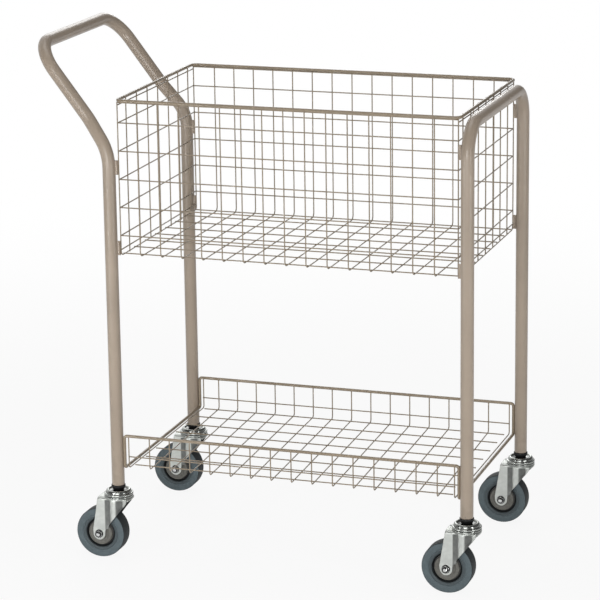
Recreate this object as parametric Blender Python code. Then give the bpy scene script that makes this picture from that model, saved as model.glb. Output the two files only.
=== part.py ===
"""Wire basket trolley on four swivel casters.

Metres, +Z up. The origin is on the floor, under the middle of the overall size.
+X is the front of the trolley, -X is the handle end, +Y is its left side.
"""
import math

import bmesh
import bpy
from mathutils import Matrix, Vector

# General fits
FIT_GAP = 0.0003

# Tube frames
TUBE_DIAMETER = 0.025
TUBE_WALL = 0.0015
LEG_SPACING_LENGTH = 0.706
LEG_SPACING_WIDTH = 0.418
FRONT_BAR_DROP = 0.014
FRAME_BEND_RADIUS = 0.060
HANDLE_BEND_RISE = 0.663
HANDLE_BEND_RADIUS = 0.085
HANDLE_SLOPE = math.radians(52.8)
HANDLE_ARM_LENGTH = 0.2475
HANDLE_NARROWING = 0.0165
HANDLE_NARROWING_LENGTH = 0.075

# Wire and rod stock
WIRE_DIAMETER = 0.0024
ROD_DIAMETER = 0.006

# Basket
BASKET_FLOOR_RISE = 0.4615
BASKET_DEPTH = 0.3015
BASKET_SIDE_INSET = 0.0039
BASKET_CROSS_WIRE_PITCH = 0.0415
BASKET_ROW_PITCH = 0.0549
BASKET_FIRST_ROW_DROP = 0.043
BASKET_RIM_BEND_RADIUS = 0.010
LONG_WIRE_PITCH = 0.0554
END_PANEL_TOP_DROP = 0.0085
END_PANEL_BOTTOM_RISE = 0.0112

# Basket lugs
LUG_LENGTH = 0.0042
LUG_THICKNESS = 0.005
LUG_HEIGHT = 0.028
FRONT_LUG_DROP = 0.0633
REAR_LUG_DROP = 0.129
LOWER_LUG_RISE = 0.015

# Tray
TRAY_FLOOR_RISE = 0.0355
TRAY_DEPTH = 0.0645
TRAY_SIDE_ROW_RISE = 0.022
TRAY_BEND_RADIUS = 0.006
TRAY_CROSS_WIRE_PITCH = 0.0412

# Caster stack, from the floor up
WHEEL_DIAMETER = 0.100
TYRE_WIDTH = 0.032
TYRE_SHOULDER = 0.003
TYRE_THICKNESS = 0.023
CASTER_TRAIL = 0.035
CROWN_CLEARANCE = 0.0215
CROWN_THICKNESS = 0.0035
RACE_HEIGHT = 0.004
RACE_DIAMETER = 0.054
HEAD_HEIGHT = 0.0107
HEAD_DIAMETER = 0.057
HEAD_RIM_HEIGHT = 0.004
HEAD_SHOULDER_DIAMETER = 0.046
HEAD_DISH_DIAMETER = 0.039
HEAD_DISH_FLOOR_DIAMETER = 0.027
HEAD_DISH_DEPTH = 0.003
COLLAR_HEIGHT = 0.0111
COLLAR_CONE_HEIGHT = 0.0065
COLLAR_DIAMETER = 0.031
COLLAR_FOOT_DIAMETER = 0.021
PLUG_LENGTH = 0.035
STEM_DIAMETER = 0.010
STEM_REACH = 0.030
STEM_RIVET_DIAMETER = 0.018
STEM_RIVET_HEIGHT = 0.0025

# Fork
FORK_INNER_WIDTH = 0.038
FORK_PLATE = 0.0025
FORK_EYE_RADIUS = 0.0125
FORK_FRONT_REACH = 0.024
FORK_FRONT_DEPTH = 0.005
FORK_REAR_REACH = 0.037
FORK_STEP_BEHIND_AXIS = 0.014
FORK_STEP_RISE = 0.019
FORK_STEP_HEIGHT = 0.006
FORK_EYE_SHOULDER_RISE = 0.0095

# Axle and wheel centre
AXLE_DIAMETER = 0.008
AXLE_HEAD_DIAMETER = 0.0145
AXLE_HEAD_HEIGHT = 0.0055
AXLE_THREAD_END = 0.0015
NUT_FLATS = 0.013
NUT_HEIGHT = 0.0065
BUSH_WALL = 0.0015
BUSH_END_PLAY = 0.0003
HUB_DISC_DIAMETER = 0.049
HUB_DISC_FACE_SETBACK = 0.0025
HUB_BOSS_DIAMETER = 0.022
HUB_BOSS_END_PLAY = 0.0005
WEB_WIDTH = 0.024

# Facet counts
# Even, because the tubes' bore has half as many sides
TUBE_SIDES = 14
ROD_SIDES = 8
TYRE_SIDES = 24
DISC_SIDES = 16
PIN_SIDES = 10
HEXAGON = 6
TUBE_BEND_STEP = math.radians(22.5)
ROD_BEND_STEP = math.radians(30)

# Places that follow from the sizes above
TUBE_RADIUS = TUBE_DIAMETER / 2
BORE_SIDES = TUBE_SIDES // 2
# The bore's polygon has the same area as the round bore
BORE_CORNER_RADIUS = (TUBE_RADIUS - TUBE_WALL) * math.sqrt(2 * math.pi / BORE_SIDES / math.sin(2 * math.pi / BORE_SIDES))
BORE_FLAT_RADIUS = BORE_CORNER_RADIUS * math.cos(math.pi / BORE_SIDES)
ROD_RADIUS = ROD_DIAMETER / 2
WIRE_RADIUS = WIRE_DIAMETER / 2
# Half the diagonal of a square bar with the same section area as the round wire
WIRE_HALF = WIRE_RADIUS * math.sqrt(math.pi / 2)
LEG_X = LEG_SPACING_LENGTH / 2
LEG_Y = LEG_SPACING_WIDTH / 2
FRONT_REACH = LEG_X + HEAD_DIAMETER / 2
REAR_REACH = LEG_X + HANDLE_ARM_LENGTH * math.cos(HANDLE_SLOPE) + TUBE_RADIUS

AXLE_Z = WHEEL_DIAMETER / 2
CROWN_BOTTOM = WHEEL_DIAMETER + CROWN_CLEARANCE
CROWN_TOP = CROWN_BOTTOM + CROWN_THICKNESS
RACE_BOTTOM = CROWN_TOP + FIT_GAP
HEAD_BOTTOM = RACE_BOTTOM + RACE_HEIGHT + FIT_GAP
COLLAR_BOTTOM = HEAD_BOTTOM + HEAD_HEIGHT - HEAD_DISH_DEPTH + FIT_GAP
LEG_END = COLLAR_BOTTOM + COLLAR_HEIGHT + FIT_GAP

BASKET_FLOOR_Z = LEG_END + BASKET_FLOOR_RISE
BASKET_RIM_Z = BASKET_FLOOR_Z + BASKET_DEPTH
BASKET_SIDE_Y = LEG_Y - BASKET_SIDE_INSET
FRONT_BAR_Z = BASKET_RIM_Z - FRONT_BAR_DROP
BASKET_END_X = LEG_X - TUBE_RADIUS - LUG_LENGTH - 2 * FIT_GAP - WIRE_HALF
TRAY_FLOOR_Z = LEG_END + TRAY_FLOOR_RISE
TRAY_RAIL_Z = TRAY_FLOOR_Z + TRAY_DEPTH
TRAY_ROD_X = LEG_X - TUBE_RADIUS - FIT_GAP - ROD_RADIUS

# Colour, roughness and metallic value of each finish
FINISHES = {
    "powder_coat": ((0.42, 0.345, 0.275), 0.42, 0.0),
    "zinc_plate": ((0.62, 0.64, 0.61), 0.28, 0.9),
    "bright_steel": ((0.70, 0.71, 0.70), 0.2, 1.0),
    "black_plastic": ((0.012, 0.012, 0.013), 0.45, 0.0),
    "grey_plastic": ((0.17, 0.18, 0.175), 0.5, 0.0),
    "grey_rubber": ((0.09, 0.115, 0.13), 0.6, 0.0),
}


def clear_scene():
    for item in list(bpy.data.objects):
        bpy.data.objects.remove(item, do_unlink=True)


def finish(name):
    """The Principled material of one finish, made on first use."""
    material = bpy.data.materials.get(name)
    if material is None:
        colour, roughness, metallic = FINISHES[name]
        material = bpy.data.materials.new(name)
        material.use_nodes = True
        shader = material.node_tree.nodes["Principled BSDF"]
        shader.inputs["Base Color"].default_value = (*colour, 1.0)
        shader.inputs["Roughness"].default_value = roughness
        shader.inputs["Metallic"].default_value = metallic
    return material


def mesh_from(vertices, faces, name):
    """A closed mesh with its faces pointing out."""
    mesh = bpy.data.meshes.new(name)
    mesh.from_pydata([tuple(v) for v in vertices], [], faces)
    work = bmesh.new()
    work.from_mesh(mesh)
    bmesh.ops.recalc_face_normals(work, faces=work.faces)
    work.to_mesh(mesh)
    work.free()
    return mesh


def place(name, mesh, finish_name, parent, location=(0, 0, 0), smooth=False):
    """One named sub-part under its parent, at a place measured from the legs' middle."""
    if not mesh.materials:
        mesh.materials.append(finish(finish_name))
    if smooth:
        mesh.shade_smooth()
        mesh.set_sharp_from_angle(angle=math.radians(35))
    part = bpy.data.objects.new(name, mesh)
    bpy.context.scene.collection.objects.link(part)
    part.parent = parent
    part.location = Vector(location) - Vector(parent["place"])
    part["place"] = location
    return part


def build_root():
    """The empty that carries the trolley, so that the origin is in the middle of its length."""
    root = bpy.data.objects.new("trolley", None)
    bpy.context.scene.collection.objects.link(root)
    root.location.x = (REAR_REACH - FRONT_REACH) / 2
    root["place"] = (0, 0, 0)
    return root


# Turned shapes

def ring_of_points(sides, flat_down=False):
    """Unit directions round a circle; flat_down puts a flat of the polygon at the bottom."""
    phase = math.pi / sides if flat_down else 0.0
    angles = [2 * math.pi * k / sides + phase - math.pi / 2 for k in range(sides)]
    return [(math.cos(a), math.sin(a)) for a in angles]


def turned(profile, sides, name, axis="Z", flat_down=False):
    """A solid turned from a closed profile of (radius, height) points with a bore."""
    directions = ring_of_points(sides, flat_down)
    vertices = []
    for radius, height in profile:
        for c, s in directions:
            if axis == "Z":
                vertices.append((radius * c, radius * s, height))
            else:
                vertices.append((radius * c, height, radius * s))
    faces = []
    count = len(profile)
    for i in range(count):
        j = (i + 1) % count
        for k in range(sides):
            n = (k + 1) % sides
            faces.append((i * sides + k, i * sides + n, j * sides + n, j * sides + k))
    return mesh_from(vertices, faces, name)


def turned_solid(profile, sides, name, axis="Z"):
    """A solid turned from an open profile, with its two ends closed flat."""
    vertices = []
    for radius, height in profile:
        for c, s in ring_of_points(sides):
            across, up = radius * c, radius * s
            vertices.append((across, up, height) if axis == "Z" else (across, height, up))
    faces = [tuple(range(sides)), tuple(range((len(profile) - 1) * sides, len(profile) * sides))]
    for i in range(len(profile) - 1):
        for k in range(sides):
            n = (k + 1) % sides
            faces.append((i * sides + k, i * sides + n, (i + 1) * sides + n, (i + 1) * sides + k))
    return mesh_from(vertices, faces, name)


# Bent tube and rod

def bent_path(corners, radii, bend_step, closed=False):
    """Points along straight runs with an arc at each corner."""
    count = len(corners)
    points = []
    for i, corner in enumerate(corners):
        radius = radii[i]
        if not closed and i in (0, count - 1):
            points.append(Vector(corner))
            continue
        here = Vector(corner)
        back = (Vector(corners[i - 1]) - here).normalized()
        ahead = (Vector(corners[(i + 1) % count]) - here).normalized()
        turn = math.pi - back.angle(ahead)
        tangent = radius * math.tan(turn / 2)
        centre = here + (back + ahead).normalized() * (radius / math.cos(turn / 2))
        start = here + back * tangent
        axis = (-back).cross(ahead).normalized()
        steps = max(2, math.ceil(round(turn / bend_step, 6)))
        for k in range(steps + 1):
            turned_arm = Matrix.Rotation(turn * k / steps, 3, axis) @ (start - centre)
            points.append(centre + turned_arm)
    return points


def path_frames(points, closed):
    """Direction across the path at each point, carried along without twist."""
    count = len(points)
    frames = []
    side = None
    for i, point in enumerate(points):
        before = points[i - 1] if closed or i else None
        after = points[(i + 1) % count] if closed or i < count - 1 else None
        a = (point - before).normalized() if before is not None else None
        b = (after - point).normalized() if after is not None else None
        along = b if a is None else a if b is None else (a + b).normalized()
        if side is None:
            side = along.orthogonal().normalized()
        side = (side - along * side.dot(along)).normalized()
        frames.append((along, side))
    return frames


def ring(point, along, side, radius, sides):
    up = along.cross(side)
    angles = [2 * math.pi * k / sides for k in range(sides)]
    return [point + (side * math.cos(a) + up * math.sin(a)) * radius for a in angles]


def skin(count, sides, first=0):
    """Faces of a bar's surface, between each ring of points and the next."""
    faces = []
    for i in range(count - 1):
        for k in range(sides):
            n = (k + 1) % sides
            low, high = first + i * sides, first + (i + 1) * sides
            faces.append((low + k, low + n, high + n, high + k))
    return faces


def closed_rod(points, radius, sides, name):
    """A round bar along a closed path."""
    frames = path_frames(points, closed=True)
    count = len(points)
    vertices = []
    for point, (along, side) in zip(points, frames):
        vertices += ring(point, along, side, radius, sides)
    faces = skin(count, sides)
    start_along, start_side = frames[0]
    carried = frames[-1][1]
    carried = (carried - start_along * carried.dot(start_along)).normalized()
    twist = math.atan2(start_along.dot(start_side.cross(carried)), start_side.dot(carried))
    shift = round(twist / (2 * math.pi) * sides)
    last = (count - 1) * sides
    for k in range(sides):
        n = (k + 1) % sides
        faces.append((last + k, last + n, (n + shift) % sides, (k + shift) % sides))
    return mesh_from(vertices, faces, name)


def open_tube(points, name):
    """The frames' tube along an open path, bored from end to end."""
    frames = path_frames(points, closed=False)
    count = len(points)
    vertices = []
    for point, (along, side) in zip(points, frames):
        vertices += ring(point, along, side, TUBE_RADIUS, TUBE_SIDES)
    inner = len(vertices)
    for point, (along, side) in zip(points, frames):
        vertices += ring(point, along, side, BORE_CORNER_RADIUS, BORE_SIDES)
    faces = skin(count, TUBE_SIDES) + skin(count, BORE_SIDES, inner)
    for end in (0, count - 1):
        outer_first, inner_first = end * TUBE_SIDES, inner + end * BORE_SIDES
        for k in range(BORE_SIDES):
            n = (k + 1) % BORE_SIDES
            faces.append((outer_first + 2 * k, outer_first + 2 * k + 1, outer_first + 2 * n,
                          inner_first + n, inner_first + k))
    return mesh_from(vertices, faces, name)


# Welded wire panels

def even_places(limit, pitch):
    """Evenly spaced places from -limit to limit, at about the pitch asked for."""
    cells = max(1, round(2 * limit / pitch))
    return [-limit + 2 * limit * k / cells for k in range(cells + 1)]


def centred_places(count, pitch):
    return [(k - (count - 1) / 2) * pitch for k in range(count)]


def places_in(room, pitch):
    """How many places at a pitch fit in the room."""
    return math.floor(room / pitch) + 1


def wire_panel(u_places, v_places, u_span, v_span, to_world, name):
    """A flat grid of crossing bars as one closed solid.

    Bars at u_places run along v through v_span, and bars at v_places run along u
    through u_span. to_world turns (u, v, height over the panel) into world axes.
    """
    half = WIRE_HALF
    vertices = []
    faces = []

    def add(u, v, w):
        vertices.append(to_world(u, v, w))
        return len(vertices) - 1

    def crossing(u, v):
        return {"front": add(u, v, half), "back": add(u, v, -half),
                (-1, -1): add(u - half, v - half, 0), (1, -1): add(u + half, v - half, 0),
                (1, 1): add(u + half, v + half, 0), (-1, 1): add(u - half, v + half, 0)}

    def section(node, du, dv):
        """The four corners where a bar leaves a crossing towards (du, dv)."""
        if du:
            return [node[(du, -1)], node["front"], node[(du, 1)], node["back"]]
        return [node[(-1, dv)], node["front"], node[(1, dv)], node["back"]]

    def bar_end(u, v, along_u):
        if along_u:
            return [add(u, v - half, 0), add(u, v, half), add(u, v + half, 0), add(u, v, -half)]
        return [add(u - half, v, 0), add(u, v, half), add(u + half, v, 0), add(u, v, -half)]

    def join(first, second):
        for k in range(4):
            n = (k + 1) % 4
            faces.append((first[k], first[n], second[n], second[k]))

    def close(node_section, place, u, v, along_u):
        """Runs a bar on to its free end, or caps it at the crossing."""
        here = u if along_u else v
        if abs(place - here) > 2 * half:
            end = bar_end(place, v, True) if along_u else bar_end(u, place, False)
            join(node_section, end)
            faces.append(tuple(end))
        else:
            low, front, high, back = node_section
            faces.append((low, front, high))
            faces.append((low, high, back))

    nodes = [[crossing(u, v) for v in v_places] for u in u_places]
    for i, u in enumerate(u_places):
        for j, v in enumerate(v_places):
            node = nodes[i][j]
            if i + 1 < len(u_places):
                join(section(node, 1, 0), section(nodes[i + 1][j], -1, 0))
            else:
                close(section(node, 1, 0), u_span[1], u, v, True)
            if j + 1 < len(v_places):
                join(section(node, 0, 1), section(nodes[i][j + 1], 0, -1))
            else:
                close(section(node, 0, 1), v_span[1], u, v, False)
            if i == 0:
                close(section(node, -1, 0), u_span[0], u, v, True)
            if j == 0:
                close(section(node, 0, -1), v_span[0], u, v, False)
    return mesh_from(vertices, faces, name)


def block(size, name):
    """A box centred on its own origin."""
    work = bmesh.new()
    bmesh.ops.create_cube(work, size=1.0)
    bmesh.ops.scale(work, vec=size, verts=work.verts)
    mesh = bpy.data.meshes.new(name)
    work.to_mesh(mesh)
    work.free()
    return mesh


def cut(target, cutter):
    """Takes the cutter's shape out of the target for good."""
    scene = bpy.context.scene.collection.objects
    body = bpy.data.objects.new("cut_body", target)
    tool = bpy.data.objects.new("cut_tool", cutter)
    scene.link(body)
    scene.link(tool)
    step = body.modifiers.new("cut", "BOOLEAN")
    step.operation = "DIFFERENCE"
    step.solver = "EXACT"
    step.object = tool
    bpy.context.view_layer.update()
    result = bpy.data.meshes.new_from_object(body.evaluated_get(bpy.context.evaluated_depsgraph_get()))
    bpy.data.objects.remove(body)
    bpy.data.objects.remove(tool)
    result.name = target.name
    return result


# Tube frames

def build_handle_frame(root):
    """One bent tube: two legs, two sloping arms and the push bar."""
    bend_z = LEG_END + HANDLE_BEND_RISE
    out = Vector((-math.cos(HANDLE_SLOPE), 0, math.sin(HANDLE_SLOPE)))
    narrow_y = LEG_Y - HANDLE_NARROWING
    bend = Vector((-LEG_X, 0, bend_z))
    narrowed = bend + out * HANDLE_NARROWING_LENGTH
    top = bend + out * HANDLE_ARM_LENGTH
    half = [(-LEG_X, LEG_Y, LEG_END), (-LEG_X, LEG_Y, bend_z),
            (narrowed.x, narrow_y, narrowed.z), (top.x, narrow_y, top.z)]
    mirrored = [(x, -y, z) for x, y, z in reversed(half)]
    radii = [0, HANDLE_BEND_RADIUS, HANDLE_BEND_RADIUS, FRAME_BEND_RADIUS]
    path = bent_path(half + mirrored, radii + radii[::-1], TUBE_BEND_STEP)
    return place("handle_frame", open_tube(path, "handle_frame"), "powder_coat", root, smooth=True)


def build_front_frame(root):
    """One bent tube: two legs and the front cross bar."""
    top = FRONT_BAR_Z
    corners = [(LEG_X, LEG_Y, LEG_END), (LEG_X, LEG_Y, top), (LEG_X, -LEG_Y, top), (LEG_X, -LEG_Y, LEG_END)]
    path = bent_path(corners, [0, FRAME_BEND_RADIUS, FRAME_BEND_RADIUS, 0], TUBE_BEND_STEP)
    return place("front_frame", open_tube(path, "front_frame"), "powder_coat", root, smooth=True)


# Basket

def basket_rows():
    """Heights of the lengthwise wires on the basket's walls, from the top down."""
    first = BASKET_RIM_Z - BASKET_FIRST_ROW_DROP
    room = first - (BASKET_FLOOR_Z + END_PANEL_BOTTOM_RISE)
    return [first - k * BASKET_ROW_PITCH for k in range(places_in(room, BASKET_ROW_PITCH))]


def build_basket(frame):
    cross_x = even_places(BASKET_END_X, BASKET_CROSS_WIRE_PITCH)
    reach = BASKET_SIDE_Y - WIRE_HALF - FIT_GAP
    long_count = places_in(2 * reach, LONG_WIRE_PITCH)
    long_y = centred_places(long_count, LONG_WIRE_PITCH)
    rim_underside = BASKET_RIM_Z - ROD_RADIUS - FIT_GAP

    rim_x = BASKET_END_X + ROD_RADIUS + WIRE_RADIUS
    corners = [(rim_x, -BASKET_SIDE_Y, BASKET_RIM_Z), (rim_x, BASKET_SIDE_Y, BASKET_RIM_Z),
               (-rim_x, BASKET_SIDE_Y, BASKET_RIM_Z), (-rim_x, -BASKET_SIDE_Y, BASKET_RIM_Z)]
    path = bent_path(corners, [BASKET_RIM_BEND_RADIUS] * 4, ROD_BEND_STEP, closed=True)
    place("basket_rim", closed_rod(path, ROD_RADIUS, ROD_SIDES, "basket_rim"), "powder_coat", frame, smooth=True)

    for side, sign in (("left", 1), ("right", -1)):
        panel = wire_panel(cross_x, basket_rows()[::-1], (cross_x[0], cross_x[-1]),
                           (BASKET_FLOOR_Z - WIRE_HALF, rim_underside),
                           lambda u, v, w, s=sign: (u, s * BASKET_SIDE_Y + w, v), f"basket_side_{side}")
        place(f"basket_side_{side}", panel, "powder_coat", frame)

    floor = wire_panel(cross_x, long_y, (cross_x[0], cross_x[-1]), (-reach, reach),
                       lambda u, v, w: (u, v, BASKET_FLOOR_Z + w), "basket_floor")
    place("basket_floor", floor, "powder_coat", frame)

    end_y = centred_places(long_count - 1, LONG_WIRE_PITCH)
    end_rows = [BASKET_FLOOR_Z + END_PANEL_BOTTOM_RISE] + basket_rows()[::-1]
    end_rows.append(BASKET_RIM_Z - END_PANEL_TOP_DROP)
    for end, sign in (("front", 1), ("rear", -1)):
        panel = wire_panel(end_y, end_rows, (-reach, reach), (end_rows[0], rim_underside),
                           lambda u, v, w, s=sign: (s * BASKET_END_X + w, u, v), f"basket_end_{end}")
        place(f"basket_end_{end}", panel, "powder_coat", frame)


def build_lugs(frames):
    """Short flat lugs that carry the basket's corner wires on the legs."""
    size = (LUG_LENGTH, LUG_THICKNESS, LUG_HEIGHT)
    x = BASKET_END_X + WIRE_HALF + FIT_GAP + LUG_LENGTH / 2
    y = (BASKET_SIDE_Y + LEG_Y) / 2
    mesh = block(size, "basket_lug")
    drops = {"front": FRONT_LUG_DROP, "rear": REAR_LUG_DROP}
    for end, end_sign in (("front", 1), ("rear", -1)):
        for side, side_sign in (("left", 1), ("right", -1)):
            upper = (end_sign * x, side_sign * y, BASKET_RIM_Z - drops[end])
            lower = (end_sign * x, side_sign * y, BASKET_FLOOR_Z + LOWER_LUG_RISE)
            place(f"basket_lug_upper_{end}_{side}", mesh, "powder_coat", frames[end], upper)
            place(f"basket_lug_lower_{end}_{side}", mesh, "powder_coat", frames[end], lower)


# Tray

def build_tray(frame):
    corners = []
    for x_sign, y_sign in ((1, -1), (1, 1), (-1, 1), (-1, -1)):
        rail = (x_sign * TRAY_ROD_X, y_sign * LEG_Y, TRAY_RAIL_Z)
        foot = (x_sign * TRAY_ROD_X, y_sign * LEG_Y, TRAY_FLOOR_Z)
        corners += [rail, foot] if x_sign * y_sign < 0 else [foot, rail]
    path = bent_path(corners, [TRAY_BEND_RADIUS] * 8, ROD_BEND_STEP, closed=True)
    rod = closed_rod(path, ROD_RADIUS, ROD_SIDES, "tray_frame_rod")
    place("tray_frame_rod", rod, "powder_coat", frame, smooth=True)

    last_x = TRAY_ROD_X - TRAY_BEND_RADIUS - WIRE_HALF - FIT_GAP
    cross_x = even_places(last_x, TRAY_CROSS_WIRE_PITCH)
    x_reach = TRAY_ROD_X - ROD_RADIUS - FIT_GAP
    y_reach = LEG_Y - WIRE_HALF - FIT_GAP
    long_y = centred_places(places_in(2 * y_reach, LONG_WIRE_PITCH), LONG_WIRE_PITCH)
    floor = wire_panel(cross_x, long_y, (-x_reach, x_reach), (-y_reach, y_reach),
                       lambda u, v, w: (u, v, TRAY_FLOOR_Z + w), "tray_floor")
    place("tray_floor", floor, "powder_coat", frame)

    top = TRAY_RAIL_Z - ROD_RADIUS - FIT_GAP
    for side, sign in (("left", 1), ("right", -1)):
        panel = wire_panel(cross_x, [TRAY_FLOOR_Z + TRAY_SIDE_ROW_RISE], (-x_reach, x_reach),
                           (TRAY_FLOOR_Z - WIRE_HALF, top),
                           lambda u, v, w, s=sign: (u, s * LEG_Y + w, v), f"tray_side_{side}")
        place(f"tray_side_{side}", panel, "powder_coat", frame)


# Casters

def collar_mesh():
    """Black plug in the tube's end with a flange and a tapered foot under it."""
    hole = STEM_DIAMETER / 2 + FIT_GAP
    plug = BORE_FLAT_RADIUS - FIT_GAP
    flange = COLLAR_DIAMETER / 2
    top = COLLAR_BOTTOM + COLLAR_HEIGHT
    profile = [(hole, COLLAR_BOTTOM), (COLLAR_FOOT_DIAMETER / 2, COLLAR_BOTTOM),
               (flange, COLLAR_BOTTOM + COLLAR_CONE_HEIGHT), (flange, top), (plug, top),
               (plug, top + PLUG_LENGTH), (hole, top + PLUG_LENGTH)]
    return turned(profile, PIN_SIDES, "caster_collar")


def stem_mesh():
    """Pin from the plug down through the swivel head, riveted under the fork's crown."""
    shaft = STEM_DIAMETER / 2
    rivet_top = CROWN_BOTTOM - FIT_GAP
    profile = [(STEM_RIVET_DIAMETER / 2, rivet_top - STEM_RIVET_HEIGHT), (STEM_RIVET_DIAMETER / 2, rivet_top),
               (shaft, rivet_top), (shaft, LEG_END + STEM_REACH)]
    return turned_solid(profile, PIN_SIDES, "caster_stem")


def head_mesh():
    """Domed swivel head that stays with the leg, dished round the collar's foot."""
    hole = STEM_DIAMETER / 2 + FIT_GAP
    top = HEAD_BOTTOM + HEAD_HEIGHT
    rim = HEAD_DIAMETER / 2
    dish_floor = top - HEAD_DISH_DEPTH
    profile = [(hole, HEAD_BOTTOM), (rim, HEAD_BOTTOM), (rim, HEAD_BOTTOM + HEAD_RIM_HEIGHT),
               (HEAD_SHOULDER_DIAMETER / 2, top), (HEAD_DISH_DIAMETER / 2, top),
               (HEAD_DISH_FLOOR_DIAMETER / 2, dish_floor), (hole, dish_floor)]
    return turned(profile, DISC_SIDES, "caster_head")


def race_mesh():
    """Ball race that turns with the fork."""
    hole = STEM_DIAMETER / 2 + FIT_GAP
    rim = RACE_DIAMETER / 2
    top = RACE_BOTTOM + RACE_HEIGHT
    profile = [(hole, RACE_BOTTOM), (rim, RACE_BOTTOM), (rim, top), (hole, top)]
    return turned(profile, DISC_SIDES, "caster_race")


def fork_outline():
    """Side view of the fork about the swivel axis, as (x, z) points in order."""
    eye_steps = 9
    lower_turn = math.radians(170)
    points = [(-FORK_REAR_REACH, CROWN_TOP)]
    for k in range(eye_steps + 1):
        a = lower_turn + (2 * math.pi - lower_turn) * k / eye_steps
        points.append((-CASTER_TRAIL + FORK_EYE_RADIUS * math.cos(a), AXLE_Z + FORK_EYE_RADIUS * math.sin(a)))
    points.append((-CASTER_TRAIL + FORK_EYE_RADIUS, AXLE_Z + FORK_EYE_SHOULDER_RISE))
    points.append((-FORK_STEP_BEHIND_AXIS, AXLE_Z + FORK_STEP_RISE - FORK_STEP_HEIGHT))
    points.append((-FORK_STEP_BEHIND_AXIS, AXLE_Z + FORK_STEP_RISE))
    points.append((FORK_FRONT_REACH, CROWN_TOP - FORK_FRONT_DEPTH))
    points.append((FORK_FRONT_REACH, CROWN_TOP))
    return points


def fork_mesh():
    """Pressed fork: crown plate and two side plates that drop to the axle."""
    outline = fork_outline()
    half = FORK_INNER_WIDTH / 2 + FORK_PLATE
    count = len(outline)
    vertices = [(x, y, z) for y in (-half, half) for x, z in outline]
    faces = [tuple(range(count)), tuple(range(count, 2 * count))]
    for k in range(count):
        n = (k + 1) % count
        faces.append((k, n, count + n, count + k))
    body = mesh_from(vertices, faces, "caster_fork")

    overrun = FORK_INNER_WIDTH
    length = FORK_REAR_REACH + FORK_FRONT_REACH + CASTER_TRAIL + 2 * overrun
    slot = block((length, FORK_INNER_WIDTH, CROWN_BOTTOM + overrun), "fork_slot")
    slot.transform(Matrix.Translation((0, 0, (CROWN_BOTTOM - overrun) / 2)))
    body = cut(body, slot)

    axle_hole = AXLE_DIAMETER / 2 + FIT_GAP
    bore = turned_solid([(axle_hole, -2 * half), (axle_hole, 2 * half)], PIN_SIDES, "fork_bore", "Y")
    bore.transform(Matrix.Translation((-CASTER_TRAIL, 0, AXLE_Z)))
    body = cut(body, bore)

    stem_hole = (STEM_DIAMETER / 2 + FIT_GAP) / math.cos(math.pi / PIN_SIDES)
    throat = turned_solid([(stem_hole, CROWN_BOTTOM - CROWN_THICKNESS), (stem_hole, CROWN_TOP + CROWN_THICKNESS)],
                          PIN_SIDES, "fork_throat")
    return cut(body, throat)


def axle_mesh():
    """Flange-headed bolt across the fork, head to the left side."""
    head_in = FORK_INNER_WIDTH / 2 + FORK_PLATE + FIT_GAP
    shaft = AXLE_DIAMETER / 2
    head = AXLE_HEAD_DIAMETER / 2
    profile = [(shaft, -(head_in + NUT_HEIGHT + AXLE_THREAD_END)), (shaft, head_in), (head, head_in),
               (head, head_in + AXLE_HEAD_HEIGHT)]
    return turned_solid(profile, PIN_SIDES, "caster_axle", "Y")


def nut_mesh():
    """Hexagon nut on the right side, its bore as wide as the bolt's thread and a fit."""
    high = -(FORK_INNER_WIDTH / 2 + FORK_PLATE + FIT_GAP)
    low = high - NUT_HEIGHT
    outer = NUT_FLATS / math.sqrt(3)
    bore = AXLE_DIAMETER / 2 + FIT_GAP
    body = turned_solid([(outer, low), (outer, high)], HEXAGON, "caster_nut", "Y")
    hole = turned_solid([(bore, low - NUT_HEIGHT), (bore, high + NUT_HEIGHT)], PIN_SIDES, "nut_bore", "Y")
    return cut(body, hole)


def bush_mesh():
    """Steel spacer tube on the bolt; the wheel turns on it."""
    inner = AXLE_DIAMETER / 2 + FIT_GAP
    outer = inner + BUSH_WALL
    half = FORK_INNER_WIDTH / 2 - BUSH_END_PLAY
    return turned([(inner, -half), (outer, -half), (outer, half), (inner, half)], PIN_SIDES, "caster_bush", "Y")


def wheel_centre_mesh():
    """Plastic wheel centre with its hub boss, thread guards and web."""
    bush = AXLE_DIAMETER / 2 + FIT_GAP + BUSH_WALL
    bore = (bush + FIT_GAP) / math.cos(math.pi / DISC_SIDES)
    boss = HUB_BOSS_DIAMETER / 2
    boss_y = FORK_INNER_WIDTH / 2 - HUB_BOSS_END_PLAY
    disc = HUB_DISC_DIAMETER / 2
    disc_y = boss_y - HUB_DISC_FACE_SETBACK
    web = WEB_WIDTH / 2
    web_radius = WHEEL_DIAMETER / 2 - TYRE_THICKNESS - FIT_GAP
    half = [(web_radius, web), (disc, web), (disc, disc_y), (boss, disc_y), (boss, boss_y), (bore, boss_y)]
    profile = [(r, -y) for r, y in half] + half[::-1]
    return turned(profile, DISC_SIDES, "caster_wheel_centre", "Y")


def tyre_mesh():
    """Rubber tyre with rounded shoulders, one flat of its polygon on the floor."""
    outer = WHEEL_DIAMETER / 2 / math.cos(math.pi / TYRE_SIDES)
    inner = WHEEL_DIAMETER / 2 - TYRE_THICKNESS
    half = TYRE_WIDTH / 2
    profile = [(inner, -half), (outer - TYRE_SHOULDER, -half), (outer, TYRE_SHOULDER - half),
               (outer, half - TYRE_SHOULDER), (outer - TYRE_SHOULDER, half), (inner, half)]
    return turned(profile, TYRE_SIDES, "caster_tyre", "Y", flat_down=True)


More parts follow.
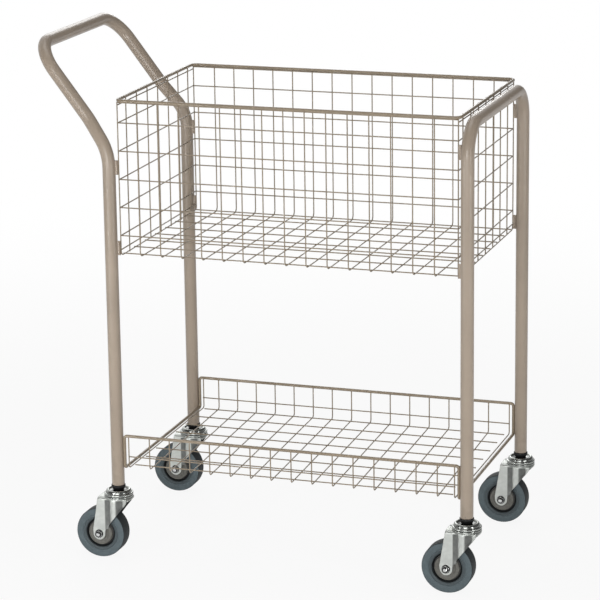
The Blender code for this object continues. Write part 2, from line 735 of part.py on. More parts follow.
def build_casters(frames):
    """Four like casters, each trailing towards the handle."""
    meshes = {"collar": collar_mesh(), "stem": stem_mesh(), "head": head_mesh(), "race": race_mesh(),
              "fork": fork_mesh(), "axle": axle_mesh(), "nut": nut_mesh(), "bush": bush_mesh(),
              "wheel_centre": wheel_centre_mesh(), "tyre": tyre_mesh()}
    for end, end_sign in (("front", 1), ("rear", -1)):
        for side, side_sign in (("left", 1), ("right", -1)):
            prefix = f"caster_{end}_{side}"
            leg = (end_sign * LEG_X, side_sign * LEG_Y, 0)
            axle = (leg[0] - CASTER_TRAIL, leg[1], AXLE_Z)
            place(f"{prefix}_collar", meshes["collar"], "black_plastic", frames[end], leg, True)
            place(f"{prefix}_stem", meshes["stem"], "bright_steel", frames[end], leg, True)
            place(f"{prefix}_head", meshes["head"], "zinc_plate", frames[end], leg, True)
            fork = place(f"{prefix}_fork", meshes["fork"], "zinc_plate", frames[end], leg)
            place(f"{prefix}_race", meshes["race"], "zinc_plate", fork, leg, True)
            place(f"{prefix}_axle", meshes["axle"], "bright_steel", fork, axle)
            place(f"{prefix}_nut", meshes["nut"], "bright_steel", fork, axle)
            place(f"{prefix}_bush", meshes["bush"], "bright_steel", fork, axle, True)
            wheel = place(f"{prefix}_wheel_centre", meshes["wheel_centre"], "grey_plastic", fork, axle, True)
            place(f"{prefix}_tyre", meshes["tyre"], "grey_rubber", wheel, axle, True)


def main():
    clear_scene()
    root = build_root()
    frames = {"rear": build_handle_frame(root), "front": build_front_frame(root)}
    build_basket(frames["front"])
    build_lugs(frames)
    build_tray(frames["front"])
    build_casters(frames)


main()
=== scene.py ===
import math

import bmesh
import bpy
from bpy.props import FloatProperty, FloatVectorProperty, IntProperty, PointerProperty
from mathutils import Matrix, Vector


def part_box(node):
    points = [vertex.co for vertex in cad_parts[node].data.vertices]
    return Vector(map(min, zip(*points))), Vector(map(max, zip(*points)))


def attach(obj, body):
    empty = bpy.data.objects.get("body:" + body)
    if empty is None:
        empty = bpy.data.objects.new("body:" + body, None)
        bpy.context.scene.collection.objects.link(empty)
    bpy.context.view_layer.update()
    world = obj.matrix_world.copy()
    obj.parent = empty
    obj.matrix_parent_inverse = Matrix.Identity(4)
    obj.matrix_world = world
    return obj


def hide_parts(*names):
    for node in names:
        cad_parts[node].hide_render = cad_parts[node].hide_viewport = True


bl_info = {
    "name": "Wire Basket Trolley",
    "version": (1, 0, 0),
    "blender": (4, 5, 0),
    "location": "3D View > Sidebar > Trolley",
    "description": "Bent tube trolley with a wire basket, a wire tray and four swivel casters",
    "category": "Add Mesh",
}

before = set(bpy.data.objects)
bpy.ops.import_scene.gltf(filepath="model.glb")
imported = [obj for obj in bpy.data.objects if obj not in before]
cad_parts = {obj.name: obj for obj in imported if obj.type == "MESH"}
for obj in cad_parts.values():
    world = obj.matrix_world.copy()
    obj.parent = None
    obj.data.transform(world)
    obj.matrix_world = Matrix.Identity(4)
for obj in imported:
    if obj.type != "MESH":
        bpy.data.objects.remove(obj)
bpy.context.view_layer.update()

# The trolley's ends with their sign along X, its sides with theirs along Y, and its corners in turn
ENDS = (("front", 1), ("rear", -1))
SIDES = (("left", 1), ("right", -1))
CORNERS = ((1, -1), (1, 1), (-1, 1), (-1, -1))


def middle(node):
    """The centre of a node's box."""
    low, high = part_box(node)
    return (low + high) / 2


# Places read from the frame; x is measured from halfway between the legs
FRONT_LEG = middle("caster_front_left_collar")
REAR_LEG = middle("caster_rear_left_collar")
MIDDLE_X = (FRONT_LEG.x + REAR_LEG.x) / 2
LEG_X = (FRONT_LEG.x - REAR_LEG.x) / 2
LEG_Y = FRONT_LEG.y
LEG_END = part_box("front_frame")[0].z
RIM_Z = middle("basket_rim").z
BASKET_SIDE_Y = middle("basket_side_left").y
BASKET_FLOOR_Z = middle("basket_floor").z
TRAY_FLOOR_Z = middle("tray_floor").z
TRAY_RAIL_Z = 2 * middle("tray_frame_rod").z - TRAY_FLOOR_Z
TRAIL = FRONT_LEG.x - middle("caster_front_left_tyre").x


# Sizes and colours that a user would change

def length(name, description, default):
    return FloatProperty(name=name, description=description, default=default, unit="LENGTH", precision=4)


def slope(name, description, degrees):
    return FloatProperty(name=name, description=description, default=math.radians(degrees), subtype="ANGLE")


def number(name, description, default):
    return FloatProperty(name=name, description=description, default=default)


def whole(name, description, default, least):
    return IntProperty(name=name, description=description, default=default, min=least)


def tint(name, description, default):
    return FloatVectorProperty(name=name, description=description, default=default,
                               subtype="COLOR", size=3, min=0.0, max=1.0)


class TrolleyTubes(bpy.types.PropertyGroup):
    """The two bent tube frames."""
    diameter: length("Tube diameter", "Outside diameter of the frame tube", 0.025)
    wall: length("Tube wall", "Wall of the frame tube", 0.0015)
    lip: length("End rounding", "Rounding of the tube's cut end", 0.0006)
    front_rise: length("Front rise", "Height of the front bar over the tube ends", 0.749)
    frame_bend: length("Frame bend", "Centre line radius of the top bends", 0.060)
    handle_rise: length("Handle rise", "Height of the handle's bend over the tube ends", 0.663)
    handle_bend: length("Handle bend", "Centre line radius where the handle leans out", 0.085)
    handle_slope: slope("Handle slope", "Slope of the handle's arms over level", 52.8)
    handle_length: length("Handle length", "Length of a handle arm from its bend to the push bar", 0.2475)
    narrowing: length("Narrowing", "How far each arm moves in towards the other", 0.0165)
    narrowing_length: length("Narrowing length", "Stretch of the arm that moves in", 0.075)
    sides: whole("Sides", "Facets round the tube", 40, 8)


class TrolleyWires(bpy.types.PropertyGroup):
    """Wire and rod of the basket and the tray."""
    wire: length("Wire", "Wire diameter", 0.0024)
    rod: length("Rod", "Rod diameter of the rim and of the tray's frame", 0.006)
    weld_sink: length("Weld sink", "How far crossing wires sink into each other at a weld", 0.0003)
    cross_count: whole("Cross wires", "Wires that run up both walls", 17, 3)
    basket_pitch: length("Basket pitch", "Distance between the basket's cross wires", 0.0417)
    basket_skew: length("Basket skew", "Lean of a cross wire along the basket, from right to left", 0.006)
    corner_x: length("Corner wire", "Place of the last cross wires along the basket", 0.3344)
    wire_bend: length("Wire bend", "Bend of the cross wires between floor and wall", 0.010)
    row_pitch: length("Row pitch", "Distance between the wires along the walls", 0.0549)
    first_row: length("First row", "Drop of the first full row under the rim", 0.043)
    rows: whole("Rows", "Rows of wire along the walls", 5, 1)
    end_low: length("Low end wire", "Height of the lowest end wire over the basket's floor", 0.0112)
    end_high: length("High end wire", "Drop of the highest end wire under the rim", 0.0085)
    long_pitch: length("Long pitch", "Distance between the floor's lengthwise wires", 0.0554)
    long_count: whole("Long wires", "Lengthwise wires in each floor", 8, 2)
    rim_bend: length("Rim bend", "Corner radius of the rim", 0.012)
    tray_pitch: length("Tray pitch", "Distance between the tray's cross wires", 0.0415)
    tray_skew: length("Tray skew", "Lean of a cross wire along the tray, from left to right", 0.0095)
    tray_last: length("Tray last wire", "Place of the last cross wires along the tray", 0.3290)
    tray_row: length("Tray row", "Height of the side wire over the tray's floor", 0.022)
    tray_bend: length("Tray bend", "Bends of the tray's rod and cross wires", 0.006)
    tray_free_end: length("Tray free end", "Where the tray's lengthwise wires stop", 0.3225)


class TrolleyCasters(bpy.types.PropertyGroup):
    """Swivel caster with a pressed fork and a rubber tyre."""
    fork_half_width: length("Fork half width", "Outside half width of the fork", 0.0215)
    fork_plate: length("Fork plate", "Thickness of the fork's plate", 0.0025)
    fork_bend: length("Fork bend", "Outside bend between crown and side plate", 0.0045)
    fork_eye: length("Fork eye", "Radius of the plate round the bolt", 0.0125)
    flute: length("Flute", "Depth of the pressed flutes", 0.0021)
    crown_groove: length("Crown groove", "Depth of the groove along the crown's edges", 0.0014)
    front_curl: length("Front curl", "Radius by which the fork's front edge curls in", 0.0040)
    front_lip: length("Front lip", "Lip past that curl", 0.0018)
    wheel_radius: length("Wheel radius", "Outside radius of the tyre", 0.050)
    tyre_half_width: length("Tyre half width", "Half the width of the tyre", 0.016)
    hub_radius: length("Hub radius", "Radius of the grey hub disc", 0.0243)
    sides: whole("Sides", "Facets round turned pieces", 72, 12)


class TrolleyFinishes(bpy.types.PropertyGroup):
    """Colours of the finishes."""
    coat: tint("Powder coat", "Both tube frames and the lugs", (0.355, 0.290, 0.228))
    # Darker and yellower than the tube coat: painted shade on the same coat
    wire: tint("Wire coat", "Wires and rods of the basket and the tray", (0.27, 0.217, 0.155))
    zinc: tint("Zinc plate", "Fork and swivel head", (0.53, 0.55, 0.525))
    steel: tint("Bright steel", "Bolt, nut, pin and bush", (0.70, 0.71, 0.70))
    black: tint("Black plastic", "Tube plug, nut insert and its washer", (0.006, 0.006, 0.0065))
    hub: tint("Grey plastic", "Wheel centre", (0.115, 0.112, 0.098))
    rubber: tint("Rubber", "Tyre", (0.074, 0.100, 0.111))


class TrolleyStage(bpy.types.PropertyGroup):
    """Camera, floor and the room's light."""
    camera: FloatVectorProperty(name="Camera", description="Place of the camera", size=3,
                                subtype="TRANSLATION", default=(1.6845, -4.9222, 1.8624))
    azimuth: slope("Azimuth", "Camera's direction round the trolley", 18.2743)
    elevation: slope("Elevation", "Camera's height angle", 14.2053)
    roll: slope("Roll", "Camera's tilt about its own axis", -0.6565)
    lens: number("Lens", "Focal length in millimetres", 164.0)
    shift: FloatVectorProperty(name="Shift", description="Lens shift", size=2, default=(-0.0280, -0.0469))
    floor: tint("Floor", "Pale floor", (0.80, 0.80, 0.80))
    glow: number("Glow", "Share of white in the floor under the trolley", 0.90)
    ambient: number("Ambient", "Even light from all round", 0.26)
    room: number("Room", "Brightness of the room that gloss shows on the camera's side", 0.05)


# Shader maths

class Value:
    """A socket's value; arithmetic on it adds Math nodes."""

    def __init__(self, recipe, socket):
        self.recipe = recipe
        self.socket = socket

    def maths(self, operation, *values):
        made = self.recipe.node("ShaderNodeMath", {"operation": operation}, dict(enumerate(values)))
        return Value(self.recipe, made.outputs[0])

    def __add__(self, other):
        return self.maths("ADD", self, other)

    def __sub__(self, other):
        return self.maths("SUBTRACT", self, other)

    def __rsub__(self, other):
        return self.maths("SUBTRACT", other, self)

    def __mul__(self, other):
        return self.maths("MULTIPLY", self, other)

    def __pow__(self, other):
        return self.maths("POWER", self, other)

    __radd__ = __add__
    __rmul__ = __mul__

    def sine(self):
        return self.maths("SINE", self)

    def between(self, low, high):
        """0 up to low, 1 from high on, smooth in between."""
        settings = {"interpolation_type": "SMOOTHSTEP", "clamp": True}
        made = self.recipe.node("ShaderNodeMapRange", settings, {0: self, 1: low, 2: high, 3: 0.0, 4: 1.0})
        return Value(self.recipe, made.outputs[0])

    def band(self, start, full, fade, end):
        """1 from full to fade, 0 outside start and end."""
        return self.between(start, full) * (1 - self.between(fade, end))


class Recipe:
    """The nodes of one procedural finish, or of the world."""

    def __init__(self, owner, output="ShaderNodeOutputMaterial"):
        owner.use_nodes = True
        self.owner = owner
        self.tree = owner.node_tree
        self.tree.nodes.clear()
        self.output = self.node(output)

    def shows(self, shader):
        """Puts a shader's output on the surface."""
        self.tree.links.new(shader.outputs[0], self.output.inputs[0])

    def node(self, kind, settings=None, sockets=None):
        """A node of one kind: its settings first, then values or links for its sockets."""
        made = self.tree.nodes.new(kind)
        for name, value in (settings or {}).items():
            setattr(made, name, value)
        for name, value in (sockets or {}).items():
            socket = made.inputs[name]
            if isinstance(value, Value):
                value = value.socket
            if isinstance(value, bpy.types.NodeSocket):
                self.tree.links.new(value, socket)
            else:
                socket.default_value = value
        return made

    def place(self, stretch=(1, 1, 1)):
        """The object's own coordinates, scaled for stretched patterns."""
        coordinates = self.node("ShaderNodeTexCoord").outputs["Object"]
        if stretch == (1, 1, 1):
            return coordinates
        return self.node("ShaderNodeMapping", {}, {"Vector": coordinates, "Scale": stretch}).outputs[0]

    def parts(self, vector):
        """The X, Y and Z of a vector."""
        split = self.node("ShaderNodeSeparateXYZ", {}, {0: vector})
        return [Value(self, socket) for socket in split.outputs]

    def axes(self):
        """The object's own coordinates, in metres."""
        return self.parts(self.place())

    def facing(self):
        """The surface's own direction, in the object's axes."""
        return self.parts(self.node("ShaderNodeTexCoord").outputs["Normal"])

    def off_axis(self, axis):
        """Distance from the object's own Z or Y axis."""
        x, y, z = self.axes()
        across = y if axis == "Z" else z
        return (x * x + across * across) ** 0.5

    def noise(self, scale, detail=2.0, rough=0.5, stretch=(1, 1, 1), distortion=0.0):
        """Noise from 0 to 1 through the object, finer with a larger scale."""
        sockets = {"Vector": self.place(stretch), "Scale": scale, "Detail": detail, "Roughness": rough,
                   "Distortion": distortion}
        return Value(self, self.node("ShaderNodeTexNoise", {}, sockets).outputs[0])

    def cells(self, scale):
        """Distance from the centres of scattered cells."""
        made = self.node("ShaderNodeTexVoronoi", {}, {"Vector": self.place(), "Scale": scale})
        return Value(self, made.outputs[0])

    def mixed(self, factor, first, second):
        """A colour between two colours, each a link or three numbers."""
        sockets = {0: factor}
        for socket, colour in ((6, first), (7, second)):
            sockets[socket] = (*colour, 1.0) if isinstance(colour, tuple) else colour
        return self.node("ShaderNodeMix", {"data_type": "RGBA", "clamp_factor": True}, sockets).outputs[2]

    def layered(self, base, *layers):
        """A base colour under layers of (mask, colour), laid over it in turn."""
        for mask, colour in layers:
            base = self.mixed(mask, base, colour)
        return base

    def bumped(self, *layers):
        """A normal raised by each (height, distance in metres) in turn."""
        normal = None
        for height, distance in layers:
            sockets = {"Height": height, "Distance": distance, "Strength": 1.0}
            if normal is not None:
                sockets["Normal"] = normal
            normal = self.node("ShaderNodeBump", {}, sockets).outputs[0]
        return normal

    def ray(self, kind):
        """1 for rays of one kind."""
        return Value(self, self.node("ShaderNodeLightPath").outputs[f"Is {kind} Ray"])

    def seen_directly(self):
        """1 for what the camera, a reflection or a clear material sees, 0 for light on the object."""
        return sum(self.ray(kind) for kind in ("Camera", "Glossy", "Transmission")).between(0.0, 1.0)

    def finish(self, colour, roughness, metallic=0.0, normal=None, specular=0.5):
        """The finish itself; what is the same all over is set on the shader's own sockets."""
        sockets = {"Base Color": colour, "Roughness": roughness, "Metallic": metallic,
                   "Specular IOR Level": specular}
        if normal is not None:
            sockets["Normal"] = normal
        shader = self.node("ShaderNodeBsdfPrincipled", {}, sockets)
        self.shows(shader)
        return shader


def shade(colour, factor):
    """A colour made lighter or darker."""
    return tuple(min(1.0, part * factor) for part in colour)


# Finishes; heights are over the floor and widths from the leg's or the wheel's axis, in metres

BARE_STEEL = (0.16, 0.155, 0.15)
GREY_DUST = (0.035, 0.034, 0.032)
SCUFFED = (0.09, 0.088, 0.08)
PALE_SPECK = (0.22, 0.215, 0.20)
ZINC_SPOT = (0.36, 0.35, 0.31)
# Painted shade in the gap between the wheel centre and the tyre
GAP_PAINTED_SHADE = (0.012, 0.012, 0.012)


def powder_coat(colour, name="powder_coat"):
    """Beige powder coat: fine orange peel, faint cloudiness, dust and a painted sheen on top faces, rubbed
    push bar.
    """
    coat = Recipe(bpy.data.materials.new(name))
    cloud = coat.noise(9.0, detail=3.0)
    peel = coat.noise(620.0, rough=0.45)
    grit = coat.noise(2400.0, detail=1.0)
    smudge = coat.noise(38.0, detail=4.0, rough=0.6, distortion=0.4)
    chipped = coat.noise(210.0, rough=0.55).between(0.70, 0.73)
    height = coat.axes()[2]
    push_bar = height.between(0.955, 0.985)
    leg_foot = 1 - height.between(0.15, 0.19)
    low_down = 1 - height.between(0.15, 0.235)
    dirt = low_down * smudge.between(0.42, 0.66)
    # Lighter on faces that look up: dust, and partly a painted sheen
    dust = coat.facing()[2].between(0.45, 0.95) * smudge.between(0.38, 0.7)
    base = coat.layered(
        coat.mixed(cloud.between(0.3, 0.7), shade(colour, 0.95), shade(colour, 1.06)),
        (grit.between(0.55, 0.75) * 0.10, shade(colour, 1.35)),
        (grit.between(0.25, 0.42) * -0.08 + 0.08, shade(colour, 0.70)),
        (dust * 0.10, shade(colour, 1.35)),
        (dirt * 0.30, shade(colour, 0.55)),
        (chipped * leg_foot * 0.8, BARE_STEEL))
    rubbed = push_bar * cloud.between(0.35, 0.6)
    roughness = 0.25 + peel * 0.04 + dust * 0.03 + cloud * 0.05 - rubbed * 0.04
    normal = coat.bumped((peel, 0.000006), (grit, 0.000001))
    coat.finish(base, roughness, normal=normal)
    return coat.owner


def wire_coat(colour):
    """The same coat on thin wire, made darker and yellower as painted shade."""
    return powder_coat(colour, "wire_coat")


def zinc_satin(colour):
    """Satin zinc on the pressed fork: fine tumbled grain, painted shade in the pressed hollows, in the
    crown's groove, on the inner faces and under the crown.
    """
    zinc = Recipe(bpy.data.materials.new("zinc_satin"))
    x, y, z = zinc.axes()
    face_y, face_z = zinc.facing()[1:]
    cloud = zinc.noise(70.0, detail=3.0, rough=0.55, distortion=0.6)
    tumble = zinc.noise(1100.0, rough=0.6)
    hairline = zinc.noise(260.0, rough=0.7, stretch=(0.25, 1.0, 6.0), distortion=0.3)
    spots = 1 - zinc.cells(520.0).between(0.05, 0.16)
    below_crown = 1 - z.between(0.1190, 0.1225)
    rear_flute = x.band(-0.0232, -0.0206, -0.0126, -0.0106)
    front_flute = x.band(-0.0010, 0.0030, 0.0140, 0.0175)
    # Painted shade in the pressed flutes
    hollow_painted_shade = (rear_flute + front_flute) * below_crown * (0.80 + cloud * 0.4)
    # Painted shade in the groove along the crown's edges
    groove = ((y * y) ** 0.5).band(0.0143, 0.0150, 0.0160, 0.0166) * z.between(0.1215, 0.1225)
    # Painted shade on the faces that look in towards the wheel and under the crown
    inside = (0 - y * face_y).between(0.003, 0.012)
    under = (0 - face_z).between(0.2, 0.7) * z.between(0.1150, 0.1160)
    base = zinc.layered(
        zinc.mixed(cloud.between(0.3, 0.7), shade(colour, 0.93), shade(colour, 1.06)),
        (tumble.between(0.45, 0.8) * 0.22, shade(colour, 0.74)),
        (hollow_painted_shade * 0.92, shade(colour, 0.20)),
        (groove * 0.80, shade(colour, 0.15)),
        (spots * cloud.between(0.5, 0.7) * 0.35, ZINC_SPOT),
        ((inside + under) * 0.92, shade(colour, 0.05)))
    roughness = 0.38 + cloud * 0.08 + hairline.between(0.45, 0.75) * 0.06 + inside * 0.20
    zinc.finish(base, roughness, 0.85, zinc.bumped((tumble, 0.00005), (hairline, 0.00002)))
    return zinc.owner


def zinc_plate(colour):
    """Bright zinc on the swivel head and race: hairlines, dull spots, painted shade in the dish round the
    plug's foot and in the groove above the rim.
    """
    zinc = Recipe(bpy.data.materials.new("zinc_plate"))
    height = zinc.axes()[2]
    radius = zinc.off_axis("Z")
    cloud = zinc.noise(90.0, detail=3.0, rough=0.55, distortion=0.6)
    tumble = zinc.noise(900.0, rough=0.6)
    hairline = zinc.noise(300.0, rough=0.7, stretch=(0.3, 0.3, 7.0))
    # Painted shade in the dish round the plug's foot
    dish_painted_shade = 1 - radius.between(0.0178, 0.0196)
    # Painted shade in the groove above the head's rim
    seam_painted_shade = radius.band(0.0240, 0.0250, 0.0262, 0.0270) * height.between(0.1325, 0.1335)
    base = zinc.layered(
        zinc.mixed(cloud.between(0.3, 0.7), shade(colour, 0.66), shade(colour, 0.78)),
        (tumble.between(0.6, 0.85) * 0.20, shade(colour, 0.45)),
        (dish_painted_shade * 0.85, shade(colour, 0.10)),
        (seam_painted_shade * 0.70, shade(colour, 0.22)))
    roughness = 0.20 + cloud * 0.06 + hairline.between(0.5, 0.75) * 0.05
    zinc.finish(base, roughness, 1.0, zinc.bumped((hairline, 0.000006)))
    return zinc.owner


def bright_steel(colour):
    """Plated steel: turned hairlines and a little tarnish."""
    steel = Recipe(bpy.data.materials.new("bright_steel"))
    tarnish = steel.noise(160.0, detail=3.0, rough=0.6)
    turned = steel.noise(900.0, rough=0.6, stretch=(1.0, 8.0, 1.0))
    base = steel.mixed(tarnish.between(0.4, 0.75), shade(colour, 1.05), shade(colour, 0.66))
    steel.finish(base, 0.16 + tarnish * 0.16, 1.0, steel.bumped((turned, 0.00002)))
    return steel.owner


def black_plastic(colour):
    """Moulded black plastic: fine grain with dust in it."""
    plastic = Recipe(bpy.data.materials.new("black_plastic"))
    grain = plastic.noise(1500.0)
    dust = plastic.noise(120.0, detail=4.0, rough=0.6)
    base = plastic.mixed(dust.between(0.55, 0.85) * 0.35, colour, GREY_DUST)
    plastic.finish(base, 0.42 + dust * 0.14, normal=plastic.bumped((grain, 0.00004)), specular=0.3)
    return plastic.owner


def grey_plastic(colour):
    """Wheel centre: moulded grey plastic with faint turning rings and a rubbed edge, with painted shade in
    the gap beyond it.
    """
    plastic = Recipe(bpy.data.materials.new("grey_plastic"))
    radius = plastic.off_axis("Y")
    rings = (radius * 5200.0).sine()
    mottle = plastic.noise(240.0, detail=4.0, rough=0.6)
    grain = plastic.noise(1800.0)
    rubbed = radius.between(0.0222, 0.0243) * mottle.between(0.4, 0.7)
    base = plastic.layered(
        plastic.mixed(mottle.between(0.3, 0.75), shade(colour, 0.82), shade(colour, 1.16)),
        (rubbed * 0.35, shade(colour, 1.7)),
        # Painted shade in the gap round the centre's edge
        (radius.between(0.02445, 0.0248), GAP_PAINTED_SHADE))
    normal = plastic.bumped((rings, 0.000015), (grain, 0.00003))
    plastic.finish(base, 0.42 + mottle * 0.16, normal=normal)
    return plastic.owner


def grey_rubber(colour):
    """Blue-grey rubber: matt, with painted shade inside the moulded ring, at the bead and on the tread;
    scuffed and dusty on the tread.
    """
    rubber = Recipe(bpy.data.materials.new("grey_rubber"))
    radius = rubber.off_axis("Y")
    mottle = rubber.noise(90.0, detail=4.0, rough=0.6)
    grain = rubber.noise(1400.0, detail=3.0, rough=0.6)
    scuff = rubber.noise(260.0, detail=3.0, rough=0.65, stretch=(1.0, 0.22, 1.0))
    specks = rubber.noise(700.0, detail=1.0).between(0.72, 0.76)
    # The tread band: painted shade darkens it; it is also scuffed and rougher
    tread = radius.between(0.0487, 0.0494)
    # Painted shade inside the moulded ring
    inner = 1 - radius.between(0.0352, 0.0368)
    # Painted shade at the bead, by the gap round the wheel centre
    gap = 1 - radius.between(0.0296, 0.0304)
    base = rubber.layered(
        rubber.mixed(mottle.between(0.3, 0.7), shade(colour, 0.90), shade(colour, 1.10)),
        (inner * 0.75, shade(colour, 0.50)),
        (gap * 0.90, shade(colour, 0.06)),
        (tread * 0.92, shade(colour, 0.14)),
        (tread * scuff.between(0.5, 0.72) * 0.18, SCUFFED),
        (specks * 0.30, PALE_SPECK))
    roughness = 0.52 + mottle * 0.14 + tread * 0.12
    rubber.finish(base, roughness, normal=rubber.bumped((grain, 0.00007), (scuff * tread, 0.00025)))
    return rubber.owner


def finishes_of(context):
    """The finishes, made once from the colours in the sidebar."""
    colours = context.scene.trolley_finishes
    makers = {"powder_coat": (powder_coat, colours.coat), "wire_coat": (wire_coat, colours.wire),
              "zinc_plate": (zinc_plate, colours.zinc), "zinc_satin": (zinc_satin, colours.zinc),
              "bright_steel": (bright_steel, colours.steel), "black_plastic": (black_plastic, colours.black),
              "grey_plastic": (grey_plastic, colours.hub), "grey_rubber": (grey_rubber, colours.rubber)}
    made = {material["trolley"]: material for material in bpy.data.materials if "trolley" in material}
    for name, (maker, colour) in makers.items():
        if name not in made:
            made[name] = maker(tuple(colour))
            made[name]["trolley"] = name
    return made


# Shapes

class Shape:
    """Points and faces gathered for one piece."""

    def __init__(self):
        self.points = []
        self.faces = []

    def skin(self, rings, capped=True):
        """Faces over a row of rings that have as many points each."""
        first, sides = len(self.points), len(rings[0])
        for points in rings:
            self.points.extend(points)
        for row in range(len(rings) - 1):
            low = first + row * sides
            for k in range(sides):
                n = (k + 1) % sides
                self.faces.append((low + k, low + n, low + sides + n, low + sides + k))
        if capped:
            last = first + (len(rings) - 1) * sides
            for start in (first, last):
                self.faces.append(tuple(range(start, start + sides)))
        return self

    def bar(self, points, radius, flared=False, sides=10):
        """A round bar along an open path, its ends rounded, or flared where they are welded."""
        rounded = ((0.0, 0.45), (0.12, 0.80), (0.42, 1.0))
        weld = ((0.0, 1.45), (0.6, 1.22), (1.7, 1.0))
        ends = [(reach * radius, radius * share) for reach, share in (weld if flared else rounded)]
        start, end = points[0], points[-1]
        ahead = (points[1] - start).normalized()
        back = (points[-2] - end).normalized()
        stations = [(start + ahead * reach, size) for reach, size in ends]
        stations += [(point, radius) for point in points[1:-1]]
        stations += [(end + back * reach, size) for reach, size in reversed(ends)]
        frames = path_frames([point for point, _ in stations], False)
        return self.skin([ring(point, *lie, size, sides) for (point, size), lie in zip(stations, frames)])

    def loop(self, points, radius, sides=16):
        """A round bar along a closed path."""
        frames = path_frames(points, True)
        first = len(self.points)
        self.skin([ring(point, *lie, radius, sides) for point, lie in zip(points, frames)], capped=False)
        along, side = frames[0]
        carried = frames[-1][1]
        carried = (carried - along * carried.dot(along)).normalized()
        twist = math.atan2(along.dot(side.cross(carried)), side.dot(carried))
        shift = round(twist / (2 * math.pi) * sides)
        last = first + (len(points) - 1) * sides
        for k in range(sides):
            n = (k + 1) % sides
            self.faces.append((last + k, last + n, first + (n + shift) % sides, first + (k + shift) % sides))
        return self

    def lathe(self, profile, sides, axis="Z"):
        """A closed profile of (radius, height) points turned about an axis."""
        first, count = len(self.points), len(profile)
        for radius, height in profile:
            for k in range(sides):
                a = 2 * math.pi * (k + 0.5) / sides
                u, v = radius * math.cos(a), radius * math.sin(a)
                self.points.append(Vector((u, v, height) if axis == "Z" else (u, height, v)))
        for i in range(count):
            here, there = first + i * sides, first + (i + 1) % count * sides
            for k in range(sides):
                n = (k + 1) % sides
                self.faces.append((here + k, here + n, there + n, there + k))
        return self

    def mesh(self, name, material, sharp=38.0):
        """The gathered shape as a mesh, smooth but for its sharp edges."""
        mesh = bpy.data.meshes.new(name)
        mesh.from_pydata([tuple(point) for point in self.points], [], self.faces)
        tidied(mesh, sharp)
        mesh.materials.append(material)
        return mesh

    def piece(self, name, material, sharp=38.0):
        return piece_from(self.mesh(name, material, sharp), name)


def tidied(mesh, sharp, weld=0.0):
    """Joins points closer than weld, turns the faces outward and marks edges sharper than an angle."""
    work = bmesh.new()
    work.from_mesh(mesh)
    if weld:
        bmesh.ops.remove_doubles(work, verts=work.verts, dist=weld)
    bmesh.ops.recalc_face_normals(work, faces=work.faces)
    work.to_mesh(mesh)
    work.free()
    mesh.shade_smooth()
    mesh.set_sharp_from_angle(angle=math.radians(sharp))


def piece_from(mesh, name, place=(0, 0, 0)):
    """A mesh as an object in the scene."""
    made = bpy.data.objects.new(name, mesh)
    bpy.context.scene.collection.objects.link(made)
    made.location = place
    return made


def bent_path(corners, radii, degrees, closed=False):
    """Points along straight runs with an arc at each corner, in steps of some degrees."""
    count = len(corners)
    points = []
    for i, corner in enumerate(corners):
        here = Vector(corner)
        if not closed and i in (0, count - 1):
            points.append(here)
            continue
        back = (Vector(corners[i - 1]) - here).normalized()
        ahead = (Vector(corners[(i + 1) % count]) - here).normalized()
        turn = math.pi - back.angle(ahead)
        start = here + back * (radii[i] * math.tan(turn / 2))
        centre = here + (back + ahead).normalized() * (radii[i] / math.cos(turn / 2))
        axis = (-back).cross(ahead).normalized()
        steps = max(2, math.ceil(round(turn / math.radians(degrees), 6)))
        for k in range(steps + 1):
            points.append(centre + Matrix.Rotation(turn * k / steps, 3, axis) @ (start - centre))
    return points


def path_frames(points, closed):
    """The direction along the path and one across it at each point, carried on without twist."""
    count = len(points)
    frames, side = [], None
    for i, point in enumerate(points):
        a = (point - points[i - 1]).normalized() if closed or i else None
        b = (points[(i + 1) % count] - point).normalized() if closed or i < count - 1 else None
        along = b if a is None else a if b is None else (a + b).normalized()
        if side is None:
            side = along.orthogonal().normalized()
        side = (side - along * side.dot(along)).normalized()
        frames.append((along, side))
    return frames


def ring(point, along, side, radius, sides):
    """Points on a circle across a path."""
    up = along.cross(side)
    turns = [2 * math.pi * k / sides for k in range(sides)]
    return [point + (side * math.cos(a) + up * math.sin(a)) * radius for a in turns]


def follow(points, value):
    """Straight lines through (place, value) points."""
    if value <= points[0][0]:
        return points[0][1]
    for (a, low), (b, high) in zip(points, points[1:]):
        if value <= b:
            return low + (high - low) * (value - a) / (b - a)
    return points[-1][1]


def from_level(level, profile):
    """A profile of (radius, rise) whose rises are measured from one level."""
    return [(radius, level + rise) for radius, rise in profile]


def mirrored(profile):
    """A profile of (radius, y) on the other side, run backwards."""
    return [(radius, -y) for radius, y in reversed(profile)]


def at(x, y, z):
    """A point with x measured from halfway between the legs."""
    return Vector((MIDDLE_X + x, y, z))


def dress(piece, body, slot, *nodes):
    """Rides a piece on its body, in place of CAD nodes; the slot is not used."""
    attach(piece, body)
    if nodes:
        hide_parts(*nodes)


def coated(piece, *nodes):
    """Fixes a powder coated piece to the trolley's frame, in place of CAD nodes."""
    dress(piece, "frame", "powder_coat", *nodes)


# Pieces

